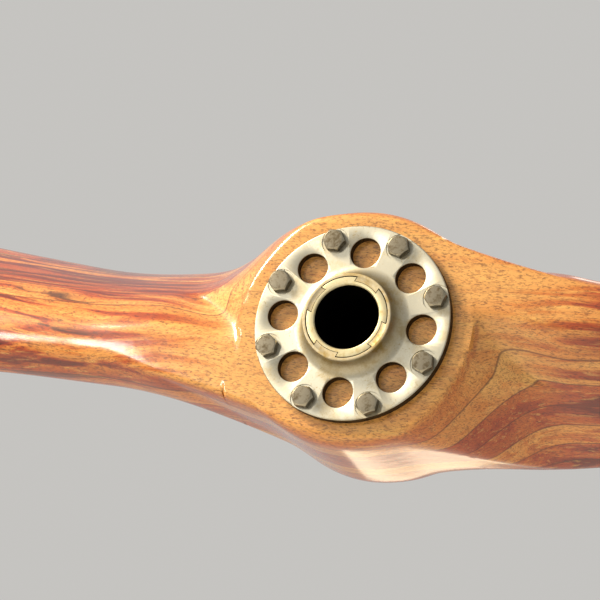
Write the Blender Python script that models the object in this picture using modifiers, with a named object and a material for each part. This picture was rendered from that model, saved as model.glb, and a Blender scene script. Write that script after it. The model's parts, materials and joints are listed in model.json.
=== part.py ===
"""A two-bladed laminated wooden propeller on its bolted steel hub and ball-bearing shaft.

The assembly is laid out as it would lie on a bench: hub axis along Z with the front upwards, and
blades along X. Three empties stand it up, so that in the world the hub axis runs along Y, the front
faces -Y, the blades lie along X, and the origin is on the axis at the held end of the shaft.
"""

import math

import bmesh
import bpy
from mathutils import Matrix, Vector

# ---------------------------------------------------------------- driving dimensions (metres)
FIT_GAP = 0.0003              # between pieces that touch, and in every glue line

# wooden blank
PROPELLER_DIAMETER = 2.500
WOOD_THICKNESS = 0.150        # the laminated stack, front face to rear face
LAMINATION_COUNT = 7
WOOD_OUTSIDE_BOLTS = 0.0349   # bolt circle to the boss's rim
BOSS_RIM_ROUND = 0.008        # rounding of the boss's rims
BOSS_PROUD = 0.0004           # boss faces stand this far above the blade roots

# blades
ROOT_RUN = 0.091              # beyond the boss, where the root becomes a plain blade section
ROOT_CHORD = 0.190
MAX_CHORD = 0.225
MAX_CHORD_RADIUS = 0.700
TIP_CHORD = 0.150
TIP_ROUND_LENGTH = 0.150
ROOT_THICKNESS = 0.080
TIP_THICKNESS = 0.012
THINNING_POWER = 1.25
ROOT_ANGLE = math.radians(48.0)
BLADE_PITCH = 2.350           # advance in one turn that sets the angle of the outer blade
PITCH_SHARPNESS = 6.0
BLADE_SETBACK = 0.004         # pitch axis behind the middle of the stack
ROOT_FRONT_SHARE = 0.42       # share of the thickness in front of the chord line
OUTER_FRONT_SHARE = 0.85
CREST_SHIFT = 0.46            # how far the thickest place moves towards the leading edge

# roots: how the two edges leave the boss
LEAD_INSIDE_BOSS = 0.0145     # edges run into the boss this far inside its rim
TRAIL_INSIDE_BOSS = 0.0085
LEAD_FAIRING_LENGTH = 0.258
TRAIL_FAIRING_LENGTH = 0.330
LEAD_DEPTH_LENGTH = 0.040     # over which the leading edge gains its full depth
TRAIL_DEPTH_LENGTH = 0.190
OBLONG_RADIUS = 0.035         # the root stays a plain oblong this far out
ROOT_SQUARENESS = 8.0         # power of the oblong section at the hub

# front flange
FLANGE_EDGE_WIDTH = 0.0124     # bolt circle to the plate's rim
FLANGE_THICKNESS = 0.010
NOSE_HEIGHT = 0.018
NOSE_WALL = 0.0035
NOSE_FILLET = 0.014
EDGE_CHAMFER = 0.0012
LIGHTENING_OUT_OF_SLEEVE = 0.0305    # sleeve's outside to the circle of lightening holes
LIGHTENING_HOLE_RADIUS = 0.0155
SPOTFACE_RADIUS = 0.0138
SPOTFACE_DEPTH = 0.0008

# hub sleeve with its rear flange
SLEEVE_WALL = 0.0105          # around the bearings
FRONT_BORE_EXTRA = 0.0015     # front bore larger than the bearings
REAR_FLANGE_EDGE_WIDTH = 0.0104
REAR_FLANGE_THICKNESS = 0.010
LUG_COUNT = 4
LUG_WIDTH = 0.0255
LUG_HEIGHT = 0.012
LUG_DEPTH = 0.005             # how far the flange's lugs reach into the sleeve
LUG_OVERRUN = 0.016           # lug outlines run this far past both sides of the ring

# through bolts, washers, castle nuts and split pins
BOLT_COUNT = 8
BOLTS_OUT_OF_SLEEVE = 0.0461   # sleeve's outside to the bolt circle
BOLT_RADIUS = 0.00635
HEAD_ACROSS_FLATS = 0.0200
HEAD_HEIGHT = 0.0080
HEAD_CHAMFER = 0.0014
WASHER_RADIUS = 0.0130
WASHER_THICKNESS = 0.0025
NUT_ACROSS_FLATS = 0.0200
NUT_HEIGHT = 0.0130
CASTLE_SLOT_DEPTH = 0.0045
CASTLE_SLOT_WIDTH = 0.0036
BOLT_PROTRUSION = 0.0010
PIN_WIRE_RADIUS = 0.0013
PIN_EYE_RADIUS = 0.0030

# ball bearings and shaft
BEARING_BORE_RADIUS = 0.0175
BEARING_OUTER_RADIUS = 0.0310
BEARING_WIDTH = 0.0140
BALL_RADIUS = 0.0040
BALL_COUNT = 9
RACE_CLEARANCE = 0.0004
RACE_SHOULDER = 0.0016        # radial room between a ring's shoulder and the ball circle
CAGE_WALL = 0.0012
CAGE_WIDTH = 0.0060
LIP_HEIGHT = 0.0030           # the lip stops the front bearing from moving forward
LIP_WIDTH = 0.0060
LIP_DEPTH = 0.0140            # the lip's front face behind the middle of the stack
RETAINER_RIM = 0.0150         # beyond the bearings
RETAINER_CLEARANCE = 0.0030   # retainer's bore to the shaft's shoulder
RETAINER_THICKNESS = 0.0050
RETAINER_SCREW_COUNT = 4
RETAINER_SCREW_OFFSET = 0.0075    # bearings to the circle of screws
RETAINER_SCREW_RADIUS = 0.0025
RETAINER_SCREW_HEAD_RADIUS = 0.0045
RETAINER_SCREW_HEAD_HEIGHT = 0.0030
RETAINER_SCREW_GRIP = 0.0100
LOCKNUT_SLOT_SHARE = 0.8      # of the nut's wall, width and depth of a spanner slot
SHOULDER_INSIDE_BALLS = 0.0003    # shoulder smaller than the ball circle
SHAFT_SHOULDER_WIDTH = 0.0120
SHAFT_BODY_EXTRA = 0.0045     # held body larger than the journal
SHAFT_REACH = 0.1500          # middle of the stack to the shaft's held end
LOCKNUT_OVER_BALLS = 0.0007   # lock nut larger than the ball circle
LOCKNUT_WIDTH = 0.0090
SHAFT_NOSE_LENGTH = 0.0030    # shaft end in front of its lock nut

# mesh fineness
SECTION_POINTS = 18
OUTER_STATIONS = 6
STATION_SPREAD = 1.15         # stations lie closer together near the root
ARC_STEPS = 3
FILLET_STEPS = 5
TURN_STEPS = 32
BEARING_STEPS = 24
LIGHTENING_SIDES = 16
SHANK_SIDES = 12
BALL_SIDES = 6
EYE_POINTS = 7

# ---------------------------------------------------------------- sizes that follow
SLEEVE_RADIUS = BEARING_OUTER_RADIUS + SLEEVE_WALL
SLEEVE_BORE_RADIUS = BEARING_OUTER_RADIUS + FRONT_BORE_EXTRA
LUG_INNER_RADIUS = SLEEVE_RADIUS - LUG_DEPTH
LIP_RADIUS = BEARING_OUTER_RADIUS - LIP_HEIGHT
BOLT_CIRCLE_RADIUS = SLEEVE_RADIUS + BOLTS_OUT_OF_SLEEVE
HOLE_CIRCLE_RADIUS = SLEEVE_RADIUS + LIGHTENING_OUT_OF_SLEEVE
FLANGE_RADIUS = BOLT_CIRCLE_RADIUS + FLANGE_EDGE_WIDTH
REAR_FLANGE_RADIUS = BOLT_CIRCLE_RADIUS + REAR_FLANGE_EDGE_WIDTH
BOSS_RADIUS = BOLT_CIRCLE_RADIUS + WOOD_OUTSIDE_BOLTS
ROOT_RADIUS = BOSS_RADIUS + ROOT_RUN
HUB_LEAD_HEIGHT = BOSS_RADIUS - LEAD_INSIDE_BOSS
HUB_TRAIL_HEIGHT = BOSS_RADIUS - TRAIL_INSIDE_BOSS
BLADE_RADIUS = PROPELLER_DIAMETER / 2
HALF_STACK = WOOD_THICKNESS / 2
FRONT_FLANGE_BACK = HALF_STACK + FIT_GAP
FRONT_FLANGE_FACE = FRONT_FLANGE_BACK + FLANGE_THICKNESS
NOSE_FACE = FRONT_FLANGE_FACE + NOSE_HEIGHT
REAR_FLANGE_FRONT = -HALF_STACK - FIT_GAP
REAR_FLANGE_BACK = REAR_FLANGE_FRONT - REAR_FLANGE_THICKNESS
BOLT_HOLE_RADIUS = BOLT_RADIUS + FIT_GAP
WOOD_BORE_RADIUS = SLEEVE_RADIUS + FIT_GAP
NOSE_RADIUS = WOOD_BORE_RADIUS + NOSE_WALL
HEAD_SEAT = FRONT_FLANGE_FACE - SPOTFACE_DEPTH + FIT_GAP
WASHER_FRONT = REAR_FLANGE_BACK - FIT_GAP
NUT_FRONT = WASHER_FRONT - WASHER_THICKNESS - FIT_GAP
NUT_BACK = NUT_FRONT - NUT_HEIGHT
BOLT_END = NUT_BACK - BOLT_PROTRUSION
PIN_LEVEL = NUT_BACK + CASTLE_SLOT_DEPTH / 2
PIN_HOLE_RADIUS = PIN_WIRE_RADIUS + FIT_GAP
LIP_BACK = -LIP_DEPTH - LIP_WIDTH
FRONT_BEARING_FACE = LIP_BACK - FIT_GAP
REAR_BEARING_FACE = REAR_FLANGE_BACK + FIT_GAP + BEARING_WIDTH
BALL_CIRCLE_RADIUS = (BEARING_BORE_RADIUS + BEARING_OUTER_RADIUS) / 2
SHAFT_SHOULDER_RADIUS = BALL_CIRCLE_RADIUS - SHOULDER_INSIDE_BALLS
SHAFT_BODY_RADIUS = BEARING_BORE_RADIUS + SHAFT_BODY_EXTRA
LOCKNUT_RADIUS = BALL_CIRCLE_RADIUS + LOCKNUT_OVER_BALLS
RETAINER_BORE_RADIUS = SHAFT_SHOULDER_RADIUS + RETAINER_CLEARANCE
RETAINER_RADIUS = BEARING_OUTER_RADIUS + RETAINER_RIM
RETAINER_SCREW_CIRCLE_RADIUS = BEARING_OUTER_RADIUS + RETAINER_SCREW_OFFSET
RETAINER_FRONT = REAR_FLANGE_BACK - FIT_GAP
RETAINER_BACK = RETAINER_FRONT - RETAINER_THICKNESS
SHAFT_SHOULDER_FRONT = REAR_BEARING_FACE - BEARING_WIDTH - FIT_GAP
LOCKNUT_BACK = FRONT_BEARING_FACE + FIT_GAP
LOCKNUT_FRONT = LOCKNUT_BACK + LOCKNUT_WIDTH
SHAFT_NOSE = LOCKNUT_FRONT + SHAFT_NOSE_LENGTH

FULL_TURN = 2 * math.pi
STEP_OVER = 0.002             # how far a cutter runs past the surface it cuts
SHANK_SPIN = math.pi / SHANK_SIDES    # turns a flat, not a corner, of each round towards the axis


# ---------------------------------------------------------------- scene, collections, materials
def start_empty_scene():
    for old in list(bpy.data.objects):
        bpy.data.objects.remove(old, do_unlink=True)


def new_collection(name):
    collection = bpy.data.collections.new(name)
    bpy.context.scene.collection.children.link(collection)
    return collection


start_empty_scene()
PARTS = new_collection("wooden_propeller")
CUTTERS = new_collection("cutters")


def new_material(name, colour, roughness, metallic):
    material = bpy.data.materials.new(name)
    material.use_nodes = True
    shader = material.node_tree.nodes["Principled BSDF"]
    shader.inputs["Base Color"].default_value = (*colour, 1.0)
    shader.inputs["Roughness"].default_value = roughness
    shader.inputs["Metallic"].default_value = metallic
    return material


MAHOGANY = new_material("varnished_mahogany", (0.42, 0.17, 0.05), 0.30, 0.0)
MAHOGANY_DARK = new_material("varnished_mahogany_dark", (0.32, 0.11, 0.035), 0.30, 0.0)
FLANGE_STEEL = new_material("plated_flange_steel", (0.70, 0.68, 0.62), 0.38, 1.0)
BOLT_STEEL = new_material("oiled_bolt_steel", (0.24, 0.24, 0.20), 0.42, 1.0)
BEARING_STEEL = new_material("ground_bearing_steel", (0.62, 0.62, 0.63), 0.22, 1.0)
CAGE_BRASS = new_material("cage_brass", (0.72, 0.52, 0.22), 0.35, 1.0)
SHAFT_STEEL = new_material("turned_shaft_steel", (0.40, 0.39, 0.37), 0.35, 1.0)


def new_stand(name):
    """An empty on the hub axis at the middle of the wood that turns the bench frame upright."""
    stand = bpy.data.objects.new(name, None)
    stand.location = (0.0, -SHAFT_REACH, 0.0)
    stand.rotation_euler = (math.pi / 2, 0.0, 0.0)
    PARTS.objects.link(stand)
    return stand


PROPELLER_AXIS = new_stand("propeller_axis")
CAGE_AXIS = new_stand("ball_cage_axis")
SHAFT_AXIS = new_stand("shaft_axis")


# ---------------------------------------------------------------- modelling helpers
def add_object(name, mesh, material=None, parent=None):
    """A part goes in the parts collection; an object with no material is a cutter."""
    obj = bpy.data.objects.new(name, mesh)
    if material is None:
        CUTTERS.objects.link(obj)
        obj.parent = PROPELLER_AXIS
        obj.hide_render = True
        obj.display_type = "WIRE"
    else:
        PARTS.objects.link(obj)
        obj.parent = parent
        obj.data.materials.append(material)
    return obj


def mesh_from(bm, name):
    mesh = bpy.data.meshes.new(name)
    bm.to_mesh(mesh)
    bm.free()
    return mesh


def shade_round(mesh):
    mesh.shade_smooth()
    mesh.set_sharp_from_angle(angle=math.radians(35.0))


def add_turning(obj, steps):
    screw = obj.modifiers.new("turn", "SCREW")
    screw.axis = "Z"
    screw.angle = FULL_TURN
    screw.steps = steps
    screw.render_steps = steps
    screw.use_merge_vertices = True
    screw.merge_threshold = 0.00001
    screw.use_smooth_shade = True


def turned(name, profile, steps, material=None, parent=None, closed=True):
    """A turned solid. The profile is (radius, z) points that run down the outer side; a closed
    one goes on up its bore, and an open one starts and ends on the axis."""
    mesh = bpy.data.meshes.new(name)
    points = [(radius, 0.0, z) for radius, z in profile]
    edges = [(i, i + 1) for i in range(len(points) - 1)]
    if closed:
        edges.append((len(points) - 1, 0))
    mesh.from_pydata(points, edges, [])
    obj = add_object(name, mesh, material, parent)
    add_turning(obj, steps)
    return obj


def ring_profile(inner, outer, top, bottom, chamfer=0.0):
    """Closed outline of a plain ring, with its outer corners chamfered if asked."""
    if chamfer == 0.0:
        return [(outer, top), (outer, bottom), (inner, bottom), (inner, top)]
    return [
        (outer - chamfer, top),
        (outer, top - chamfer),
        (outer, bottom + chamfer),
        (outer - chamfer, bottom),
        (inner, bottom),
        (inner, top),
    ]


def add_cylinder(bm, radius, bottom, top, sides, at=(0.0, 0.0), spin=0.0, top_radius=None):
    """A prism or cylinder along Z; spin turns its first corner."""
    centre = Vector((at[0], at[1], (bottom + top) / 2))
    bmesh.ops.create_cone(
        bm,
        cap_ends=True,
        segments=sides,
        radius1=radius,
        radius2=radius if top_radius is None else top_radius,
        depth=top - bottom,
        matrix=Matrix.Translation(centre) @ Matrix.Rotation(spin, 4, "Z"),
    )


def add_box(bm, size, centre, spin=0.0):
    """A box whose centre is turned with it about the Z axis."""
    turn = Matrix.Rotation(spin, 4, "Z")
    bmesh.ops.create_cube(
        bm,
        size=1.0,
        matrix=turn @ Matrix.Translation(centre) @ Matrix.Diagonal((*size, 1.0)),
    )


def combine(obj, other, operation):
    boolean = obj.modifiers.new(operation.lower(), "BOOLEAN")
    boolean.operation = operation
    boolean.object = other
    boolean.solver = "EXACT"


def circle_places(count, radius, first_angle):
    """(angle, x, y) of evenly spaced places on a circle."""
    angles = [first_angle + FULL_TURN * i / count for i in range(count)]
    return [(a, radius * math.cos(a), radius * math.sin(a)) for a in angles]


BOLT_PLACES = circle_places(BOLT_COUNT, BOLT_CIRCLE_RADIUS, FULL_TURN / BOLT_COUNT / 2)
LIGHTENING_PLACES = circle_places(BOLT_COUNT, HOLE_CIRCLE_RADIUS, 0.0)
LUG_ANGLES = [a for a, _, _ in circle_places(LUG_COUNT, 1.0, -FULL_TURN / BOLT_COUNT / 2)]
RETAINER_PLACES = circle_places(RETAINER_SCREW_COUNT, RETAINER_SCREW_CIRCLE_RADIUS, math.pi / 4)


def hole_cutter(name, places, radius, bottom, top, sides=SHANK_SIDES):
    bm = bmesh.new()
    for angle, x, y in places:
        add_cylinder(bm, radius, bottom, top, sides, at=(x, y), spin=angle + math.pi / sides)
    return add_object(name, mesh_from(bm, name))


# ---------------------------------------------------------------- blade shape
def ease(t):
    """Smooth rise from 0 to 1 with level ends."""
    t = min(max(t, 0.0), 1.0)
    return t * t * (3.0 - 2.0 * t)


def tip_rounding(r):
    """1 along the blade, then a quarter ellipse down to 0 at the tip."""
    into_tip = (r - (BLADE_RADIUS - TIP_ROUND_LENGTH)) / TIP_ROUND_LENGTH
    return math.sqrt(max(0.0, 1.0 - max(0.0, into_tip) ** 2))


def chord(r):
    if r < MAX_CHORD_RADIUS:
        widening = ease((r - ROOT_RADIUS) / (MAX_CHORD_RADIUS - ROOT_RADIUS))
        return ROOT_CHORD + (MAX_CHORD - ROOT_CHORD) * widening
    narrowing = ease((r - MAX_CHORD_RADIUS) / (BLADE_RADIUS - TIP_ROUND_LENGTH / 2 - MAX_CHORD_RADIUS))
    return (MAX_CHORD + (TIP_CHORD - MAX_CHORD) * narrowing) * tip_rounding(r)


def blade_thickness(r):
    left = 1.0 - max((r - ROOT_RADIUS) / (BLADE_RADIUS - ROOT_RADIUS), 0.0)
    plain = TIP_THICKNESS + (ROOT_THICKNESS - TIP_THICKNESS) * left**THINNING_POWER
    return plain * math.sqrt(tip_rounding(r))


def blade_angle(r):
    """The helix angle, held down near the root to what the stack of boards can hold."""
    helix = math.atan2(BLADE_PITCH, FULL_TURN * max(r, ROOT_RADIUS))
    return (helix**-PITCH_SHARPNESS + ROOT_ANGLE**-PITCH_SHARPNESS) ** (-1.0 / PITCH_SHARPNESS)


def edge_places(r):
    """(y, z) of the leading and trailing edges on the right-hand blade."""
    reach = chord(r) / 2
    height = reach * math.cos(blade_angle(r))
    rise = reach * math.sin(blade_angle(r))
    lead_y = HUB_LEAD_HEIGHT + (height - HUB_LEAD_HEIGHT) * ease(r / LEAD_FAIRING_LENGTH)
    trail_y = HUB_TRAIL_HEIGHT + (height - HUB_TRAIL_HEIGHT) * ease(r / TRAIL_FAIRING_LENGTH)
    lead_z = (rise - BLADE_SETBACK) * ease(r / LEAD_DEPTH_LENGTH)
    trail_z = (rise + BLADE_SETBACK) * ease(r / TRAIL_DEPTH_LENGTH)
    return Vector((lead_y, lead_z)), Vector((-trail_y, -trail_z))


def aerofoil_point(r, turn):
    """A point of the blade section; turn runs from the leading edge over the front and back."""
    lead, trail = edge_places(r)
    chord_line = trail - lead
    forward = Vector((-chord_line.y, chord_line.x)).normalized()
    if forward.y < 0:
        forward = -forward
    outward = ease((r - BOSS_RADIUS) / (MAX_CHORD_RADIUS - BOSS_RADIUS))
    front_share = ROOT_FRONT_SHARE + (OUTER_FRONT_SHARE - ROOT_FRONT_SHARE) * outward
    share = front_share if math.sin(turn) > 0 else 1.0 - front_share
    lift = blade_thickness(r) * share * math.sin(turn) * (1.0 + CREST_SHIFT * math.cos(turn))
    return lead + chord_line * (1.0 - math.cos(turn)) / 2 + forward * lift


def oblong_point(r, turn):
    """A point of the root's oblong section, which is as deep as the stack of boards."""
    lead, trail = edge_places(r)
    across = math.copysign(abs(math.cos(turn)) ** (2.0 / ROOT_SQUARENESS), math.cos(turn))
    up = math.copysign(abs(math.sin(turn)) ** (2.0 / ROOT_SQUARENESS), math.sin(turn))
    return Vector(((lead.x if across > 0 else -trail.x) * across, (HALF_STACK - BOSS_PROUD) * up))


def section_point(r, turn):
    """Root oblong at the hub that turns into the blade's aerofoil, kept within the boards."""
    grown = ease((r - OBLONG_RADIUS) / (ROOT_RADIUS - OBLONG_RADIUS))
    point = oblong_point(r, turn).lerp(aerofoil_point(r, turn), grown)
    limit = HALF_STACK - BOSS_PROUD
    return Vector((point.x, min(max(point.y, -limit), limit)))


def blade_stations():
    """Distances from the hub axis where the blank has a section, hub to tip."""
    tip_start = BLADE_RADIUS - TIP_ROUND_LENGTH
    hub = [ROOT_RADIUS * share for share in (0.0, 0.2, 0.36, 0.5, 0.62, 0.74, 0.87)]
    shares = [(i / OUTER_STATIONS) ** STATION_SPREAD for i in range(OUTER_STATIONS + 1)]
    outer = [ROOT_RADIUS + (tip_start - ROOT_RADIUS) * share for share in shares]
    tip = [tip_start + TIP_ROUND_LENGTH * share for share in (0.4, 0.7, 0.9, 0.98)]
    return hub + outer + tip


def blank_sections():
    """Rings of points from one tip to the other; the left half is the right one turned over."""
    turns = [FULL_TURN * k / SECTION_POINTS for k in range(SECTION_POINTS)]
    stations = blade_stations()
    rings = []
    for r in reversed(stations[1:]):
        half_turned = [section_point(r, math.pi - turn) for turn in turns]
        rings.append([Vector((-r, -p.x, p.y)) for p in half_turned])
    for r in stations:
        rings.append([Vector((r, p.x, p.y)) for p in (section_point(r, turn) for turn in turns)])
    return rings


def blank_mesh(name):
    """The carved blank: a loft through its sections, closed at both tips."""
    bm = bmesh.new()
    rings = [[bm.verts.new(p) for p in ring] for ring in blank_sections()]
    for ring, following in zip(rings, rings[1:]):
        for k in range(SECTION_POINTS):
            j = (k + 1) % SECTION_POINTS
            bm.faces.new((ring[k], ring[j], following[j], following[k]))
    bm.faces.new(reversed(rings[0]))
    bm.faces.new(rings[-1])
    bmesh.ops.recalc_face_normals(bm, faces=bm.faces)
    return mesh_from(bm, name)


def boss_disc():
    """The round boss that the blade roots run into."""
    profile = [(0.0, HALF_STACK)]
    for i in range(ARC_STEPS + 1):
        angle = math.pi / 2 * (1.0 - i / ARC_STEPS)
        radius = BOSS_RADIUS - BOSS_RIM_ROUND * (1.0 - math.cos(angle))
        profile.append((radius, HALF_STACK - BOSS_RIM_ROUND * (1.0 - math.sin(angle))))
    profile += [(radius, -z) for radius, z in reversed(profile)]
    return turned("boss_disc", profile, TURN_STEPS, closed=False)


# ---------------------------------------------------------------- wood
def make_wood_cutter():
    """The bore for the sleeve and the eight bolt holes, as one cutter."""
    bm = bmesh.new()
    over = HALF_STACK + STEP_OVER
    add_cylinder(bm, WOOD_BORE_RADIUS, -over, over, TURN_STEPS)
    for angle, x, y in BOLT_PLACES:
        add_cylinder(bm, BOLT_HOLE_RADIUS, -over, over, SHANK_SIDES, at=(x, y), spin=angle + SHANK_SPIN)
    return add_object("wood_hole_cutter", mesh_from(bm, "wood_hole_cutter"))


def make_laminations():
    """Boards 1 (front) to LAMINATION_COUNT (rear), each its own slice of the carved blank."""
    boss = boss_disc()
    holes = make_wood_cutter()
    pitch = WOOD_THICKNESS / LAMINATION_COUNT
    for i in range(LAMINATION_COUNT):
        first = i == 0
        last = i == LAMINATION_COUNT - 1
        top = HALF_STACK - i * pitch + (STEP_OVER if first else -FIT_GAP / 2)
        bottom = HALF_STACK - (i + 1) * pitch + (-STEP_OVER if last else FIT_GAP / 2)
        name = f"lamination_{i + 1}"
        bm = bmesh.new()
        size = (PROPELLER_DIAMETER + 2 * STEP_OVER, 4 * BOSS_RADIUS, top - bottom)
        add_box(bm, size, (0.0, 0.0, (top + bottom) / 2))
        slab = add_object(f"{name}_slab", mesh_from(bm, f"{name}_slab"))
        wood = MAHOGANY if i % 2 == 0 else MAHOGANY_DARK
        board = add_object(name, blank_mesh(name), wood, PROPELLER_AXIS)
        combine(board, boss, "UNION")
        combine(board, slab, "INTERSECT")
        combine(board, holes, "DIFFERENCE")


# ---------------------------------------------------------------- hub
def make_lug_ring(name, inner, outer, top, bottom, width):
    """The parts of a ring that lie inside the four lug widths."""
    ring = turned(name, ring_profile(inner, outer, top, bottom), TURN_STEPS)
    bm = bmesh.new()
    size = (outer - inner + LUG_OVERRUN, width, top - bottom + 2 * STEP_OVER)
    for angle in LUG_ANGLES:
        add_box(bm, size, ((inner + outer) / 2, 0.0, (top + bottom) / 2), angle)
    combine(ring, add_object(f"{name}_widths", mesh_from(bm, f"{name}_widths")), "INTERSECT")
    return ring


def make_front_flange():
    """Drilled plate with a filleted nose; four lugs in its bore key into the sleeve."""
    fillet_centre = (NOSE_RADIUS + NOSE_FILLET, FRONT_FLANGE_FACE + NOSE_FILLET)
    fillet = []
    for i in range(FILLET_STEPS + 1):
        angle = math.pi + math.pi / 2 * i / FILLET_STEPS
        fillet.append((
            fillet_centre[0] + NOSE_FILLET * math.cos(angle),
            fillet_centre[1] + NOSE_FILLET * math.sin(angle),
        ))
    profile = [
        (WOOD_BORE_RADIUS, NOSE_FACE),
        (NOSE_RADIUS - EDGE_CHAMFER, NOSE_FACE),
        (NOSE_RADIUS, NOSE_FACE - EDGE_CHAMFER),
        *fillet,
        (FLANGE_RADIUS - EDGE_CHAMFER, FRONT_FLANGE_FACE),
        (FLANGE_RADIUS, FRONT_FLANGE_FACE - EDGE_CHAMFER),
        (FLANGE_RADIUS, FRONT_FLANGE_BACK),
        (WOOD_BORE_RADIUS, FRONT_FLANGE_BACK),
    ]
    flange = turned("front_flange", profile, TURN_STEPS, FLANGE_STEEL, PROPELLER_AXIS)
    below = FRONT_FLANGE_BACK - STEP_OVER
    above = FRONT_FLANGE_FACE + STEP_OVER
    lightening = hole_cutter(
        "lightening_cutter", LIGHTENING_PLACES, LIGHTENING_HOLE_RADIUS, below, above, LIGHTENING_SIDES
    )
    combine(flange, lightening, "DIFFERENCE")
    seat = FRONT_FLANGE_FACE - SPOTFACE_DEPTH
    for number, (angle, x, y) in enumerate(BOLT_PLACES, start=1):
        stepped = [
            (0.0, above),
            (SPOTFACE_RADIUS, above),
            (SPOTFACE_RADIUS, seat),
            (BOLT_HOLE_RADIUS, seat),
            (BOLT_HOLE_RADIUS, below),
            (0.0, below),
        ]
        cutter = turned(f"flange_bolt_cutter_{number}", stepped, SHANK_SIDES, closed=False)
        cutter.location = (x, y, 0.0)
        cutter.rotation_euler = (0.0, 0.0, angle + SHANK_SPIN)
        combine(flange, cutter, "DIFFERENCE")
    lugs = make_lug_ring(
        "flange_lugs",
        LUG_INNER_RADIUS + FIT_GAP,
        WOOD_BORE_RADIUS + NOSE_WALL / 2,
        NOSE_FACE,
        NOSE_FACE - LUG_HEIGHT,
        LUG_WIDTH,
    )
    combine(flange, lugs, "UNION")


def make_hub_sleeve():
    """Tube with an integral rear flange; its front end is slotted into four wide dogs."""
    profile = [
        (SLEEVE_RADIUS, NOSE_FACE),
        (SLEEVE_RADIUS, REAR_FLANGE_FRONT),
        (REAR_FLANGE_RADIUS, REAR_FLANGE_FRONT),
        (REAR_FLANGE_RADIUS, REAR_FLANGE_BACK + EDGE_CHAMFER),
        (REAR_FLANGE_RADIUS - EDGE_CHAMFER, REAR_FLANGE_BACK),
        (BEARING_OUTER_RADIUS, REAR_FLANGE_BACK),
        (BEARING_OUTER_RADIUS, LIP_BACK),
        (LIP_RADIUS, LIP_BACK),
        (LIP_RADIUS, -LIP_DEPTH),
        (SLEEVE_BORE_RADIUS, -LIP_DEPTH),
        (SLEEVE_BORE_RADIUS, NOSE_FACE - EDGE_CHAMFER),
        (SLEEVE_BORE_RADIUS + EDGE_CHAMFER, NOSE_FACE),
    ]
    sleeve = turned("hub_sleeve", profile, TURN_STEPS, FLANGE_STEEL, PROPELLER_AXIS)
    slots = make_lug_ring(
        "sleeve_slots",
        LUG_INNER_RADIUS,
        NOSE_RADIUS,
        NOSE_FACE + STEP_OVER,
        NOSE_FACE - LUG_HEIGHT - FIT_GAP,
        LUG_WIDTH + 2 * FIT_GAP,
    )
    combine(sleeve, slots, "DIFFERENCE")
    below = REAR_FLANGE_BACK - STEP_OVER
    above = REAR_FLANGE_FRONT + STEP_OVER
    combine(sleeve, hole_cutter("rear_bolt_cutter", BOLT_PLACES, BOLT_HOLE_RADIUS, below, above), "DIFFERENCE")
    tapped = REAR_FLANGE_BACK + RETAINER_SCREW_GRIP + FIT_GAP
    radius = RETAINER_SCREW_RADIUS + FIT_GAP
    combine(sleeve, hole_cutter("tapped_hole_cutter", RETAINER_PLACES, radius, below, tapped), "DIFFERENCE")


# ---------------------------------------------------------------- fasteners
def hexagon_radius(across_flats):
    return across_flats / 2 / math.cos(math.pi / 6)


def make_bolt(number, angle, x, y):
    name = f"hub_bolt_{number}"
    corner = hexagon_radius(HEAD_ACROSS_FLATS)
    top = HEAD_SEAT + HEAD_HEIGHT
    head = bmesh.new()
    add_cylinder(head, corner, HEAD_SEAT, top, 6)
    bmesh.ops.bevel(
        head,
        geom=[e for e in head.edges if all(v.co.z > top - STEP_OVER for v in e.verts)],
        offset=HEAD_CHAMFER,
        segments=1,
        affect="EDGES",
    )
    bolt = add_object(name, mesh_from(head, name), BOLT_STEEL, PROPELLER_AXIS)
    shank = bmesh.new()
    add_cylinder(shank, BOLT_RADIUS, BOLT_END, HEAD_SEAT + HEAD_HEIGHT / 2, SHANK_SIDES, spin=SHANK_SPIN)
    shank_object = add_object(f"{name}_shank", mesh_from(shank, f"{name}_shank"))
    cross_hole = add_object(f"{name}_pin_cutter", pin_hole_mesh(f"{name}_pin_cutter"))
    for piece in (bolt, shank_object, cross_hole):
        piece.location = (x, y, 0.0)
        piece.rotation_euler = (0.0, 0.0, angle)
    combine(bolt, shank_object, "UNION")
    combine(bolt, cross_hole, "DIFFERENCE")


def pin_hole_mesh(name):
    bm = bmesh.new()
    bmesh.ops.create_cone(
        bm,
        cap_ends=True,
        segments=8,
        radius1=PIN_HOLE_RADIUS,
        radius2=PIN_HOLE_RADIUS,
        depth=2 * (BOLT_RADIUS + STEP_OVER),
        matrix=Matrix.Translation((0.0, 0.0, PIN_LEVEL)) @ Matrix.Rotation(math.pi / 2, 4, "Y"),
    )
    return mesh_from(bm, name)


def make_washer(number, angle, x, y):
    profile = ring_profile(BOLT_HOLE_RADIUS, WASHER_RADIUS, WASHER_FRONT, WASHER_FRONT - WASHER_THICKNESS)
    washer = turned(f"bolt_washer_{number}", profile, SHANK_SIDES, BOLT_STEEL, PROPELLER_AXIS)
    washer.location = (x, y, 0.0)
    washer.rotation_euler = (0.0, 0.0, angle + SHANK_SPIN)


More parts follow.
